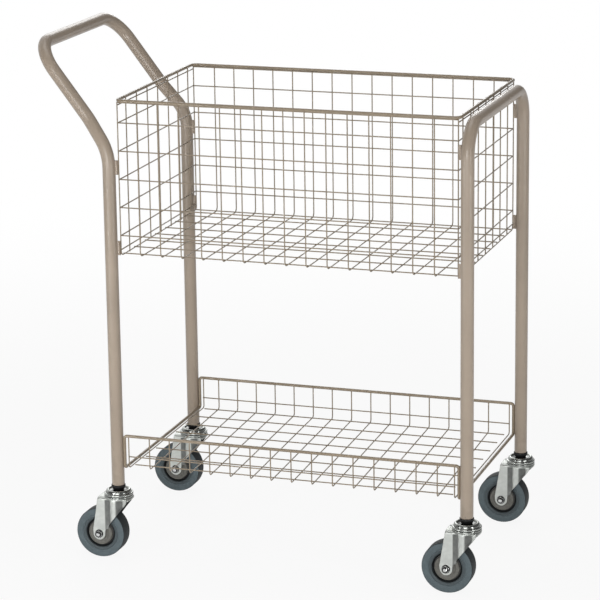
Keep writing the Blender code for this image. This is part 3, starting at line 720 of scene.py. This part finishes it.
class TROLLEY_OT_frames(bpy.types.Operator):
    """Bend the handle frame and the front frame from round tube"""
    bl_idname = "trolley.frames"
    bl_label = "Tube Frames"

    def tube(self, name, corners, bends, context):
        """Tube along a bent path, bored from end to end, with rounded lips."""
        tubes = context.scene.trolley_tubes
        points = bent_path(corners, bends, 3)
        outer, lip = tubes.diameter / 2, tubes.lip
        inner = outer - tubes.wall
        first = (points[1] - points[0]).normalized()
        last = (points[-2] - points[-1]).normalized()
        rounded = [(0.0, inner + lip), (0.0, outer - lip), (0.3 * lip, outer - 0.3 * lip), (lip, outer)]
        skin = [(points[0] + first * reach, radius) for reach, radius in rounded]
        skin += [(point, outer) for point in points[1:-1]]
        skin += [(points[-1] + last * reach, radius) for reach, radius in reversed(rounded)]
        bore = [points[0] + first * lip] + points[1:-1] + [points[-1] + last * lip]
        lies = path_frames(points, False)
        matched = [lies[0]] * len(rounded) + lies[1:-1] + [lies[-1]] * len(rounded)
        rings = [ring(point, *lie, radius, tubes.sides) for (point, radius), lie in zip(skin, matched)]
        rings += [ring(point, *lie, inner, tubes.sides) for point, lie in reversed(list(zip(bore, lies)))]
        made = Shape().skin(rings + [rings[0]], capped=False).piece(name, finishes_of(context)["powder_coat"])
        tidied(made.data, 50.0, weld=0.000001)
        return made

    def execute(self, context):
        tubes = context.scene.trolley_tubes
        bend = at(-LEG_X, LEG_Y, LEG_END + tubes.handle_rise)
        out = Vector((-math.cos(tubes.handle_slope), 0, math.sin(tubes.handle_slope)))
        left = [at(-LEG_X, LEG_Y, LEG_END), bend]
        for reach in (tubes.narrowing_length, tubes.handle_length):
            place = bend + out * reach
            left.append(Vector((place.x, LEG_Y - tubes.narrowing, place.z)))
        right = [Vector((point.x, -point.y, point.z)) for point in reversed(left)]
        bends = [0, tubes.handle_bend, tubes.handle_bend, tubes.frame_bend]
        coated(self.tube("handle_tube", left + right, bends + bends[::-1], context), "handle_frame")

        top = LEG_END + tubes.front_rise
        corners = [at(LEG_X, LEG_Y, LEG_END), at(LEG_X, LEG_Y, top),
                   at(LEG_X, -LEG_Y, top), at(LEG_X, -LEG_Y, LEG_END)]
        bends = [0, tubes.frame_bend, tubes.frame_bend, 0]
        coated(self.tube("front_tube", corners, bends, context), "front_frame")
        return {"FINISHED"}


def cross_places(count, pitch, last, lean):
    """Places of the cross wires at the right and the left wall."""
    middle_wire = (count - 1) / 2
    places = []
    for k in range(count):
        number = k - middle_wire
        if abs(number) == middle_wire:
            places.append((math.copysign(last, number),) * 2)
        else:
            places.append((pitch * number - lean / 2, pitch * number + lean / 2))
    return places


def cross_wires(places, y, top, floor, bend, radius):
    """Wires bent in one length: down the right wall, across the floor and up the left wall."""
    shape = Shape()
    for right, left in places:
        corners = [at(right, -y, top), at(right, -y, floor), at(left, y, floor), at(left, y, top)]
        shape.bar(bent_path(corners, [0, bend, bend, 0], 11.25), radius, flared=True)
    return shape


def centred(count, pitch):
    """Evenly spaced places on both sides of zero."""
    return [(k - (count - 1) / 2) * pitch for k in range(count)]


class TROLLEY_OT_basket(bpy.types.Operator):
    """Bend the basket's rim and weld its wires"""
    bl_idname = "trolley.basket"
    bl_label = "Wire Basket"

    def execute(self, context):
        wires = context.scene.trolley_wires
        coat = finishes_of(context)["wire_coat"]
        radius, rod, sink, last = wires.wire / 2, wires.rod / 2, wires.weld_sink, wires.corner_x
        layer = wires.wire - sink
        rim_x = last + rod - radius + sink

        corners = [at(x_sign * rim_x, y_sign * BASKET_SIDE_Y, RIM_Z) for x_sign, y_sign in CORNERS]
        rim = Shape().loop(bent_path(corners, [wires.rim_bend] * 4, 7.5, closed=True), rod)
        coated(rim.piece("basket_rim_rod", coat), "basket_rim")

        places = cross_places(wires.cross_count, wires.basket_pitch, last, wires.basket_skew)
        cross = cross_wires(places, BASKET_SIDE_Y, RIM_Z - rod + 2 * sink, BASKET_FLOOR_Z,
                            wires.wire_bend, radius)
        coated(cross.piece("basket_cross_wires", coat), "basket_side_right", "basket_floor")

        rows = [RIM_Z - wires.first_row - k * wires.row_pitch for k in range(wires.rows)]
        under_rim = RIM_Z - rod - radius + sink
        walls = Shape()
        for sign in (-1, 1):
            y = sign * (BASKET_SIDE_Y - layer)
            for z in rows + [under_rim]:
                walls.bar([at(-last, y, z), at(last, y, z)], radius)
        coated(walls.piece("basket_wall_wires", coat), "basket_side_left")

        floor = Shape()
        z = BASKET_FLOOR_Z + layer
        for y in centred(wires.long_count, wires.long_pitch):
            floor.bar([at(-last, y, z), at(last, y, z)], radius)
        coated(floor.piece("basket_floor_wires", coat))

        for end, sign in ENDS:
            panel = Shape()
            inner, outer = sign * (last - layer), sign * last
            for y in centred(wires.long_count - 1, wires.long_pitch):
                panel.bar([at(inner, y, BASKET_FLOOR_Z - radius), at(inner, y, RIM_Z + radius)], radius)
            reach = BASKET_SIDE_Y - radius
            for z in rows + [BASKET_FLOOR_Z + wires.end_low, RIM_Z - wires.end_high]:
                panel.bar([at(outer, -reach, z), at(outer, reach, z)], radius)
            coated(panel.piece(f"basket_end_wires_{end}", coat), f"basket_end_{end}")
        return {"FINISHED"}


class TROLLEY_OT_lugs(bpy.types.Operator):
    """Cut the flat lugs between the basket's corner wires and the legs"""
    bl_idname = "trolley.lugs"
    bl_label = "Basket Lugs"

    def lug(self, low, high):
        """A flat lug whose edges flare into a weld bead at both of its sides."""
        centre = (low + high) / 2
        half = (high - low) / 2
        bead = 0.0009
        waist, flare = 0.72, 0.45
        steps = 10
        outline = []
        for k in range(steps + 1):
            u = -1 + 2 * k / steps
            outline.append((u * (half.x + bead), half.y * (waist + flare * abs(u) ** 3)))
        outline += [(x, -y) for x, y in reversed(outline)]
        rounded = ((1.0, 0.55), (0.975, 0.86), (0.93, 1.0))
        levels = [(-share, size) for share, size in rounded] + list(reversed(rounded))
        return Shape().skin([[centre + Vector((x, y * size, share * half.z)) for x, y in outline]
                             for share, size in levels])

    def execute(self, context):
        coat = finishes_of(context)["powder_coat"]
        for end, _ in ENDS:
            for side, _ in SIDES:
                for level in ("upper", "lower"):
                    node = f"basket_lug_{level}_{end}_{side}"
                    lug = self.lug(*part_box(node))
                    coated(lug.piece(f"lug_{level}_{end}_{side}", coat, sharp=30.0), node)
        return {"FINISHED"}


class TROLLEY_OT_tray(bpy.types.Operator):
    """Bend the lower tray's rod and weld its wires"""
    bl_idname = "trolley.tray"
    bl_label = "Wire Tray"

    def execute(self, context):
        wires = context.scene.trolley_wires
        tubes = context.scene.trolley_tubes
        coat = finishes_of(context)["wire_coat"]
        radius, rod, sink, last = wires.wire / 2, wires.rod / 2, wires.weld_sink, wires.tray_last
        layer = wires.wire - sink
        rod_x = LEG_X - tubes.diameter / 2 - rod
        corners = []
        for x_sign, y_sign in CORNERS:
            rail, foot = [at(x_sign * rod_x, y_sign * LEG_Y, z) for z in (TRAY_RAIL_Z, TRAY_FLOOR_Z)]
            corners += [rail, foot] if x_sign * y_sign < 0 else [foot, rail]
        path = bent_path(corners, [wires.tray_bend] * 8, 9, closed=True)
        coated(Shape().loop(path, rod).piece("tray_rod", coat), "tray_frame_rod")

        places = cross_places(wires.cross_count, wires.tray_pitch, last, -wires.tray_skew)
        cross = cross_wires(places, LEG_Y, TRAY_RAIL_Z - rod + 2 * sink, TRAY_FLOOR_Z,
                            wires.tray_bend, radius)
        coated(cross.piece("tray_cross_wires", coat), "tray_side_right", "tray_side_left")

        long_wires = Shape()
        z = TRAY_FLOOR_Z + layer
        for y in centred(wires.long_count, wires.long_pitch):
            long_wires.bar([at(-wires.tray_free_end, y, z), at(wires.tray_free_end, y, z)], radius)
        z = TRAY_FLOOR_Z + wires.tray_row
        for sign in (-1, 1):
            y = sign * (LEG_Y - layer)
            long_wires.bar([at(-last - radius, y, z), at(last + radius, y, z)], radius)
        coated(long_wires.piece("tray_long_wires", coat), "tray_floor")
        return {"FINISHED"}


class Fork:
    """Pressed plate bent over the wheel: x along the fork from the leg's axis, z over the floor."""

    # Columns of points from the rear edge to the front edge, and how many of them curl in
    COLUMNS, CURLED = 64, 12
    # How far the curled edge turns in, how much of it is bend before the lip, and how much less
    # it turns where the plate bends over into the crown
    LAST_TURN, BEND_SHARE, EASED = math.radians(72), 0.75, 0.45
    # How far the crown bulges back, the x that its front bulges out to, and the rounding of the edges
    CROWN_REAR, CROWN_FRONT, EDGE = 0.0015, 0.0280, 0.0006
    # Depth in the plate and reach of the points that round an edge
    ROUNDED = ((0.12, 0.65), (0.5, 1.0), (0.88, 0.65))
    # Share of the flutes' depth by x, of the crown groove's by distance from its edge, of the curl by z
    FLUTES = ((-0.0232, 0.0), (-0.0218, -0.08), (-0.0128, -1.0), (-0.0116, -0.95), (-0.0094, 0.20),
              (-0.0080, 0.35), (-0.0015, 0.50), (0.0005, 0.35), (0.0110, -1.0), (0.0150, -0.8), (0.0210, 0.2))
    GROOVE = ((0.0, 0.0), (0.0006, 0.5), (0.0012, 1.0), (0.0020, 1.0), (0.0030, 0.25), (0.0040, 0.0))
    CURL = ((0.0860, 0.0), (0.0920, 0.15), (0.1060, 1.0))
    # How far up the plate may face and still have flutes
    FLUTED_TO = 0.3

    def __init__(self, casters):
        self.sizes = casters
        self.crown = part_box("caster_front_left_fork")[1].z
        self.axle = casters.wheel_radius

    def edges(self, z):
        """Rear and front edge of the side plate at a height, from (height, x) points."""
        eye, axle = self.sizes.fork_eye, self.axle
        if z < axle:
            reach = math.sqrt(max(0.0, eye ** 2 - (z - axle) ** 2))
            return -TRAIL - reach, -TRAIL + reach
        rear = ((axle, -TRAIL - eye), (0.0570, -0.0482), (0.1000, -0.0408), (self.crown, -0.0370))
        front = ((axle, -TRAIL + eye), (0.0570, -0.0218), (0.0600, -0.0195), (0.0618, -0.0150),
                 (0.0690, -0.0142), (0.0710, -0.0126), (0.0920, 0.0038), (0.1050, 0.0143),
                 (0.1110, 0.0192), (0.1160, 0.0222), (self.crown, 0.0240))
        return follow(rear, z), follow(front, z)

    def on_plate(self, x, y, z, normal):
        """A point on the plate's outer face, stepped out or in by the flutes on the side plates."""
        place = Vector((x, y, z))
        if abs(normal.z) >= self.FLUTED_TO:
            return place
        rise = ((0.058, 0.0), (0.070, 1.0), (self.crown - 0.008, 1.0), (self.crown, 0.15))
        depth = self.sizes.flute * follow(rise, z)
        return place + normal * (depth * follow(self.FLUTES, x))

    def curled_in(self, turn, fold, y, z, normal):
        """A point on the curled front edge, 0 at its fold and 1 at its lip, and where it faces."""
        curl = self.sizes.front_curl
        corner = 4 * normal.y ** 2 * normal.z ** 2
        bent = self.LAST_TURN * (1 - self.EASED * corner) * min(1.0, turn / self.BEND_SHARE)
        past = max(0.0, turn - self.BEND_SHARE) / (1 - self.BEND_SHARE) * self.sizes.front_lip * (1 - corner)
        forward = Vector((1, 0, 0))
        facing = normal * math.cos(bent) + forward * math.sin(bent)
        ahead = forward * math.cos(bent) - normal * math.sin(bent)
        centre = Vector((fold, y, z)) - normal * curl
        return centre + facing * curl + ahead * past, facing

    def ring(self, y, z, normal):
        """The plate's cut at one place: outer face, front edge, inner face, rear edge."""
        plate = self.sizes.fork_plate
        rear, front = self.edges(z)
        bulge = 1 - (y / self.sizes.fork_half_width) ** 2
        rear -= self.CROWN_REAR * bulge
        front = front + (self.CROWN_FRONT - front) * bulge
        edge = min(self.EDGE, (front - rear) / 6)
        curled = follow(self.CURL, z)
        fold = front - self.sizes.front_curl - self.EDGE
        flat_columns = self.COLUMNS - self.CURLED
        outer, inner = [], []
        for column in range(self.COLUMNS + 1):
            share = column / self.COLUMNS
            point = self.on_plate(rear + edge + (front - rear - 2 * edge) * share, y, z, normal)
            facing = normal
            if curled > 0 and column > flat_columns:
                turned, facing = self.curled_in((column - flat_columns) / self.CURLED, fold, y, z, normal)
                facing = normal.lerp(facing, curled).normalized()
                point = point.lerp(turned, curled)
            elif curled > 0:
                x = rear + edge + (fold - rear - edge) * share * self.COLUMNS / flat_columns
                point = point.lerp(self.on_plate(x, y, z, normal), curled)
            outer.append(point)
            inner.append(point - facing * plate)
        ahead = (outer[-1] - outer[-2]).normalized() * edge
        front_edge = [outer[-1].lerp(inner[-1], deep) + ahead * reach for deep, reach in self.ROUNDED]
        rear_edge = [Vector((rear + edge * (1 - reach), outer[0].y, outer[0].z)) - normal * plate * (1 - deep)
                     for deep, reach in self.ROUNDED]
        return outer + front_edge + inner[::-1] + rear_edge

    def shape(self):
        """Rings from the foot of the right side plate, over the crown, to the foot of the left one."""
        half, bend, eye = self.sizes.fork_half_width, self.sizes.fork_bend, self.sizes.fork_eye
        top = self.crown - bend
        eye_rows, plate_rows, bend_rows, crown_rows = 10, 46, 8, 24
        heights = [self.axle - eye * math.cos(math.radians(10 + 80 * k / eye_rows)) for k in range(eye_rows)]
        heights += [self.axle + (top - self.axle) * k / plate_rows for k in range(plate_rows + 1)]
        right = [(-half, z, Vector((0, -1, 0))) for z in heights]
        for k in range(1, bend_rows):
            a = math.pi / 2 * k / bend_rows
            normal = Vector((0, -math.cos(a), math.sin(a)))
            right.append((-half + bend * (1 - math.cos(a)), top + bend * math.sin(a), normal))
        flat = half - bend
        crown = []
        for k in range(crown_rows + 1):
            y = flat * (2 * k / crown_rows - 1)
            dip = self.sizes.crown_groove * follow(self.GROOVE, flat - abs(y))
            crown.append((y, self.crown - dip, Vector((0, 0, 1))))
        left = [(-y, z, Vector((0, -normal.y, normal.z))) for y, z, normal in reversed(right)]
        return Shape().skin([self.ring(*section) for section in right + crown + left])


def hexagon(half_flats, near, far, direction):
    """Rings of a hexagon about Y with a turned chamfer at its far end."""
    corner = half_flats / math.cos(math.pi / 6)
    chamfer = 0.0012 * direction
    facets = 36
    rings = []
    for step, y in ((0.0, near), (0.0, far - chamfer), (0.5, far - chamfer * 0.45), (1.0, far)):
        limit = corner - (corner - half_flats * 0.97) * step
        points = []
        for k in range(facets):
            a = 2 * math.pi * k / facets
            flat = half_flats / math.cos((a + math.pi / 6) % (math.pi / 3) - math.pi / 6)
            reach = min(flat, limit)
            points.append(Vector((reach * math.cos(a), y, reach * math.sin(a))))
        rings.append(points)
    return rings


class TROLLEY_OT_casters(bpy.types.Operator):
    """Turn, press and assemble the four casters"""
    bl_idname = "trolley.casters"
    bl_label = "Swivel Casters"

    def swivel_shapes(self, sides):
        """Head, race and collar turned about the leg's axis, with z over the floor."""
        pin = 0.0054
        foot, top = [corner.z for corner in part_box("caster_front_left_head")]
        lower = ((pin, 0.0), (0.0265, 0.0), (0.0279, 0.0001), (0.0285, 0.0008), (0.0285, 0.0026),
                 (0.0282, 0.0034), (0.0275, 0.0040), (0.0266, 0.0042), (0.0258, 0.0041), (0.0252, 0.0043),
                 (0.0250, 0.0050), (0.0249, 0.0062), (0.0245, 0.0078), (0.0237, 0.0092), (0.0226, 0.0102))
        upper = ((0.0214, 0.0), (0.0204, 0.0), (0.0196, -0.0004), (0.0187, -0.0013), (0.0170, -0.0023),
                 (0.0140, -0.0029), (pin, -0.003))
        head = Shape().lathe(from_level(foot, lower) + from_level(top, upper), sides)
        foot, top = [corner.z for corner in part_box("caster_front_left_race")]
        lower = ((pin, 0.0), (0.0262, 0.0), (0.0276, 0.0003), (0.0283, 0.0013), (0.0283, 0.0026),
                 (0.0276, 0.0034), (0.0262, 0.0037))
        race = Shape().lathe(from_level(foot, lower) + [(0.0250, top), (pin, top)], sides)
        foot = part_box("caster_front_left_collar")[0].z
        lower = ((pin, 0.0), (0.0098, 0.0), (0.0105, 0.0006), (0.0112, 0.0018), (0.0127, 0.0052),
                 (0.0135, 0.0064), (0.0139, 0.0076))
        upper = ((0.0140, -0.0010), (0.0137, -0.0003), (0.0105, -0.0002), (0.0105, 0.020), (pin, 0.020))
        collar = Shape().lathe(from_level(foot, lower) + from_level(LEG_END, upper), sides)
        return head, race, collar

    def bolt_shapes(self, casters):
        """Bolt with its head and washer on the left; lock nut, then its insert and washer, on the right."""
        gap = 0.0001
        face = casters.fork_half_width + gap
        right_end, left_end = [corner.y - LEG_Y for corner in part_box("caster_front_left_axle")]
        core, thread, half_flats, thick, sides = 0.0001, 0.0039, 0.0065, 0.0014, 40
        shank = ((core, 0.0), (0.0031, 0.0), (thread, 0.0008))
        washer = ((thread, 0.0), (0.0085, 0.0), (0.0088, 0.0003), (0.0088, 0.0010), (0.0085, 0.0013),
                  (0.0064, thick), (core, thick))
        bolt = Shape().lathe(from_level(right_end, shank) + from_level(face, washer), sides, "Y")
        bolt.skin(hexagon(half_flats, face + thick, left_end, 1))
        nut_near, nut_far = 0.0013, 0.0056
        nut = Shape().skin(hexagon(half_flats, -face - nut_near, -face - nut_far, -1))
        insert = Shape().lathe(from_level(-face, (
            (0.0040, -0.0050), (0.0060, -0.0050), (0.0060, -0.0066), (0.0054, -0.0073), (0.0044, -0.0071),
            (0.0040, -0.0064))), sides, "Y")
        insert.lathe(from_level(-face, (
            (0.0041, 0.0), (0.0079, 0.0), (0.0083, -0.0003), (0.0083, -0.0011), (0.0079, -0.0014),
            (0.0041, -0.0014))), sides, "Y")
        return bolt, nut, insert

    def wheel_shapes(self, casters):
        """Tyre and centre, turned about the axle."""
        tread, side, hub = casters.wheel_radius, casters.tyre_half_width, casters.hub_radius
        # Each point's step in from the tread and from the tyre's side, from its bead to its tread
        steps = ((0.0230, 0.0075), (0.0218, 0.0050), (0.0208, 0.0028), (0.0194, 0.0012), (0.0160, 0.0006),
                 (0.0150, 0.0006), (0.0143, 0.0010), (0.0138, 0.0011), (0.0133, 0.0009), (0.0126, 0.0002),
                 (0.0118, 0.0), (0.0026, 0.0), (0.0018, 0.0002), (0.0010, 0.0006), (0.0005, 0.0012),
                 (0.0002, 0.0020), (0.0, 0.0030))
        left = [(tread - inward, side - deep) for inward, deep in steps]
        tyre_facets = 96
        tyre = Shape().lathe(left + [(tread, 0.0)] + mirrored(left), tyre_facets, "Y")
        # Each point's radius and its step in from the fork's plate
        face = casters.fork_half_width - casters.fork_plate
        disc = ((0.0060, 0.0004), (0.0095, 0.0004), (0.0103, 0.0008), (0.0110, 0.0020), (0.0118, 0.0026),
                (0.0150, 0.0027), (0.0156, 0.0031), (0.0162, 0.0031), (0.0168, 0.0027), (0.0214, 0.0027),
                (hub - 0.0012, 0.0031), (hub - 0.0004, 0.0036), (hub, 0.0045), (hub + 0.0002, 0.0080),
                (tread - 0.0233, 0.0085))
        left = [(radius, face - deep) for radius, deep in disc]
        return tyre, Shape().lathe(left + mirrored(left), casters.sides, "Y")

    def execute(self, context):
        casters = context.scene.trolley_casters
        finishes = finishes_of(context)
        head, race, collar = self.swivel_shapes(casters.sides)
        bolt, nut, insert = self.bolt_shapes(casters)
        tyre, centre = self.wheel_shapes(casters)
        # Piece, its shape, its mesh's name, finish, sharp angle, slot, body and CAD node
        table = (
            ("head", head, "swivel_head", "zinc_plate", 60, "zinc_plate", "frame", "head"),
            ("collar", collar, "tube_collar", "black_plastic", 50, "black_plastic", "frame", "collar"),
            ("race", race, "swivel_race", "zinc_plate", 60, "zinc_plate", "swivel", "race"),
            ("fork", Fork(casters).shape(), "fork", "zinc_satin", 42, "zinc_plate", "swivel", "fork"),
            ("bolt", bolt, "bolt", "bright_steel", 35, "bright_steel", "swivel", "axle"),
            ("nut", nut, "nut", "bright_steel", 35, "bright_steel", "swivel", "nut"),
            ("insert", insert, "nut_insert", "black_plastic", 50, "black_plastic", "swivel", None),
            ("tyre", tyre, "tyre", "grey_rubber", 50, "grey_rubber", "wheel", "tyre"),
            ("centre", centre, "wheel_centre", "grey_plastic", 40, "grey_plastic", "wheel", "wheel_centre"),
        )
        made = [(kind, shape.mesh(name, finishes[finish], sharp), slot, group, node)
                for kind, shape, name, finish, sharp, slot, group, node in table]
        for end, end_sign in ENDS:
            for side, side_sign in SIDES:
                prefix = f"caster_{end}_{side}"
                leg = at(end_sign * LEG_X, side_sign * LEG_Y, 0)
                axle = middle(f"{prefix}_tyre")
                for kind, mesh, slot, group, node in made:
                    place = leg if kind in ("head", "collar", "race", "fork") else axle
                    body = "frame" if group == "frame" else f"{prefix}_{group}"
                    nodes = (f"{prefix}_{node}",) if node else ()
                    dress(piece_from(mesh, f"{kind}_{end}_{side}", place), body, slot, *nodes)
                for node in ("stem", "bush"):
                    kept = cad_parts[f"{prefix}_{node}"].data.materials
                    kept.clear()
                    kept.append(finishes["bright_steel"])
        return {"FINISHED"}


# Each lamp's place, the height in the trolley's middle that it is aimed at, its width and height, its watts
LAMPS = {
    "key": ((0.6, -6.0, 1.2), 0.5, (2.8, 2.4), 160),
    "fill": ((4.8, -2.4, 1.4), 0.5, (1.0, 1.6), 24),
    "strip_left": ((-0.70, -1.23, 0.34), 0.34, (0.09, 0.60), 3.8),
    "strip_right": ((1.75, -0.84, 0.34), 0.34, (0.09, 0.60), 3.8),
    "top": ((-0.4, 0.2, 4.2), 0.5, (2.6, 2.2), 26),
    "back": ((-1.8, 4.2, 2.6), 0.5, (2.4, 1.6), 30),
    "edge": ((-1.15, 4.6, 1.95), 0.8, (1.0, 0.4), 6),
}


class TROLLEY_OT_stage(bpy.types.Operator):
    """Set up the pale floor, the soft lamps and the camera"""
    bl_idname = "trolley.stage"
    bl_label = "Stage"

    def lamp(self, name, place, aim_z, size, power):
        """A soft lamp; the strips are hidden from the camera."""
        data = bpy.data.lights.new(name, "AREA")
        data.shape = "RECTANGLE"
        data.size, data.size_y = size
        data.energy = power
        lamp = bpy.data.objects.new(name, data)
        bpy.context.scene.collection.objects.link(lamp)
        lamp.location = place
        ahead = Vector((MIDDLE_X, 0.0, aim_z)) - Vector(place)
        lamp.rotation_euler = ahead.to_track_quat("-Z", "Y").to_euler()
        lamp.visible_camera = not name.startswith("strip")

    def floor(self, stage):
        """A floor whose edge is far away: nearly white where it is seen directly, less so in gloss."""
        sides = 48
        turns = [2 * math.pi * k / sides for k in range(sides)]
        rings = [[Vector((radius * math.cos(a), radius * math.sin(a), 0.0)) for a in turns]
                 for radius in (1.0, 2.5, 5.0, 9.0, 16.0, 30.0, 60.0)]
        shape = Shape().skin(rings, capped=False)
        shape.faces.append(tuple(range(sides)))
        recipe = Recipe(bpy.data.materials.new("floor"))
        cloud = recipe.noise(1.5, detail=3.0).between(0.3, 0.7)
        away = recipe.off_axis("Z").between(0.8, 3.2)
        matt = recipe.finish(recipe.mixed(cloud, shade(stage.floor, 0.985), tuple(stage.floor)), 0.75,
                             specular=0.2)
        white = recipe.node("ShaderNodeEmission", {}, {"Color": (1, 1, 1, 1), "Strength": 1.0})
        share = stage.glow + away * (1 - stage.glow)
        share = recipe.seen_directly() * share * (1 - recipe.ray("Glossy") * 0.3)
        seen = recipe.node("ShaderNodeMixShader", {}, {0: share, 1: matt.outputs[0], 2: white.outputs[0]})
        recipe.shows(seen)
        shape.piece("floor", recipe.owner)

    def world(self, scene, stage):
        """White behind the trolley and plain light on it; gloss sees a darker room on the camera's side."""
        scene.world = bpy.data.worlds.new("studio")
        recipe = Recipe(scene.world, "ShaderNodeOutputWorld")
        right, back = recipe.parts(recipe.node("ShaderNodeTexCoord").outputs["Generated"])[:2]
        white = back.between(-0.35, 0.25) * (1 - right.between(-0.10, 0.15) * 0.9)
        room = recipe.ray("Glossy") * (1 - white) * (1 - stage.room)
        strength = stage.ambient + recipe.seen_directly() * (1 - stage.ambient) - room
        recipe.shows(recipe.node("ShaderNodeBackground", {}, {"Color": (1, 1, 1, 1), "Strength": strength}))

    def camera(self, scene, stage):
        """The camera at its place, turned by its azimuth, its elevation and its roll."""
        data = bpy.data.cameras.new("camera")
        data.sensor_width = 36.0
        data.lens = stage.lens
        data.shift_x, data.shift_y = stage.shift
        data.clip_start, data.clip_end = 0.1, 200.0
        camera = bpy.data.objects.new("camera", data)
        scene.collection.objects.link(camera)
        azimuth, elevation, roll = stage.azimuth, stage.elevation, stage.roll
        ahead = Vector((-math.sin(azimuth) * math.cos(elevation), math.cos(azimuth) * math.cos(elevation),
                        -math.sin(elevation)))
        level = Vector((math.cos(azimuth), math.sin(azimuth), 0.0))
        rise = level.cross(ahead)
        right = level * math.cos(roll) + rise * math.sin(roll)
        up = rise * math.cos(roll) - level * math.sin(roll)
        turn = Matrix((right, up, -ahead)).transposed().to_4x4()
        camera.matrix_world = Matrix.Translation(Vector(stage.camera)) @ turn
        scene.camera = camera

    def execute(self, context):
        scene = context.scene
        stage = scene.trolley_stage
        self.floor(stage)
        self.world(scene, stage)
        for name, lamp in LAMPS.items():
            self.lamp(name, *lamp)
        self.camera(scene, stage)
        scene.view_settings.view_transform = "Standard"
        return {"FINISHED"}


OPERATORS = (TROLLEY_OT_stage, TROLLEY_OT_frames, TROLLEY_OT_basket, TROLLEY_OT_lugs, TROLLEY_OT_tray,
             TROLLEY_OT_casters)
GROUPS = {"trolley_tubes": TrolleyTubes, "trolley_wires": TrolleyWires, "trolley_casters": TrolleyCasters,
          "trolley_finishes": TrolleyFinishes, "trolley_stage": TrolleyStage}


class TROLLEY_PT_panel(bpy.types.Panel):
    """The trolley's pieces and sizes"""
    bl_idname = "TROLLEY_PT_panel"
    bl_label = "Trolley"
    bl_space_type = "VIEW_3D"
    bl_region_type = "UI"
    bl_category = "Trolley"

    def draw(self, context):
        layout = self.layout
        for operator in OPERATORS:
            layout.operator(operator.bl_idname)
        for name in GROUPS:
            box = layout.box()
            box.label(text=name.removeprefix("trolley_").capitalize())
            group = getattr(context.scene, name)
            for field in group.bl_rna.properties:
                if field.identifier not in ("rna_type", "name"):
                    box.prop(group, field.identifier)


def register():
    for name, group in GROUPS.items():
        bpy.utils.register_class(group)
        setattr(bpy.types.Scene, name, PointerProperty(type=group))
    for operator in OPERATORS:
        bpy.utils.register_class(operator)
    bpy.utils.register_class(TROLLEY_PT_panel)


def unregister():
    bpy.utils.unregister_class(TROLLEY_PT_panel)
    for operator in reversed(OPERATORS):
        bpy.utils.unregister_class(operator)
    for name, group in reversed(GROUPS.items()):
        delattr(bpy.types.Scene, name)
        bpy.utils.unregister_class(group)


def main():
    register()
    bpy.ops.trolley.stage()
    bpy.ops.trolley.frames()
    bpy.ops.trolley.basket()
    bpy.ops.trolley.lugs()
    bpy.ops.trolley.tray()
    bpy.ops.trolley.casters()


if __name__ == "__main__":
    main()
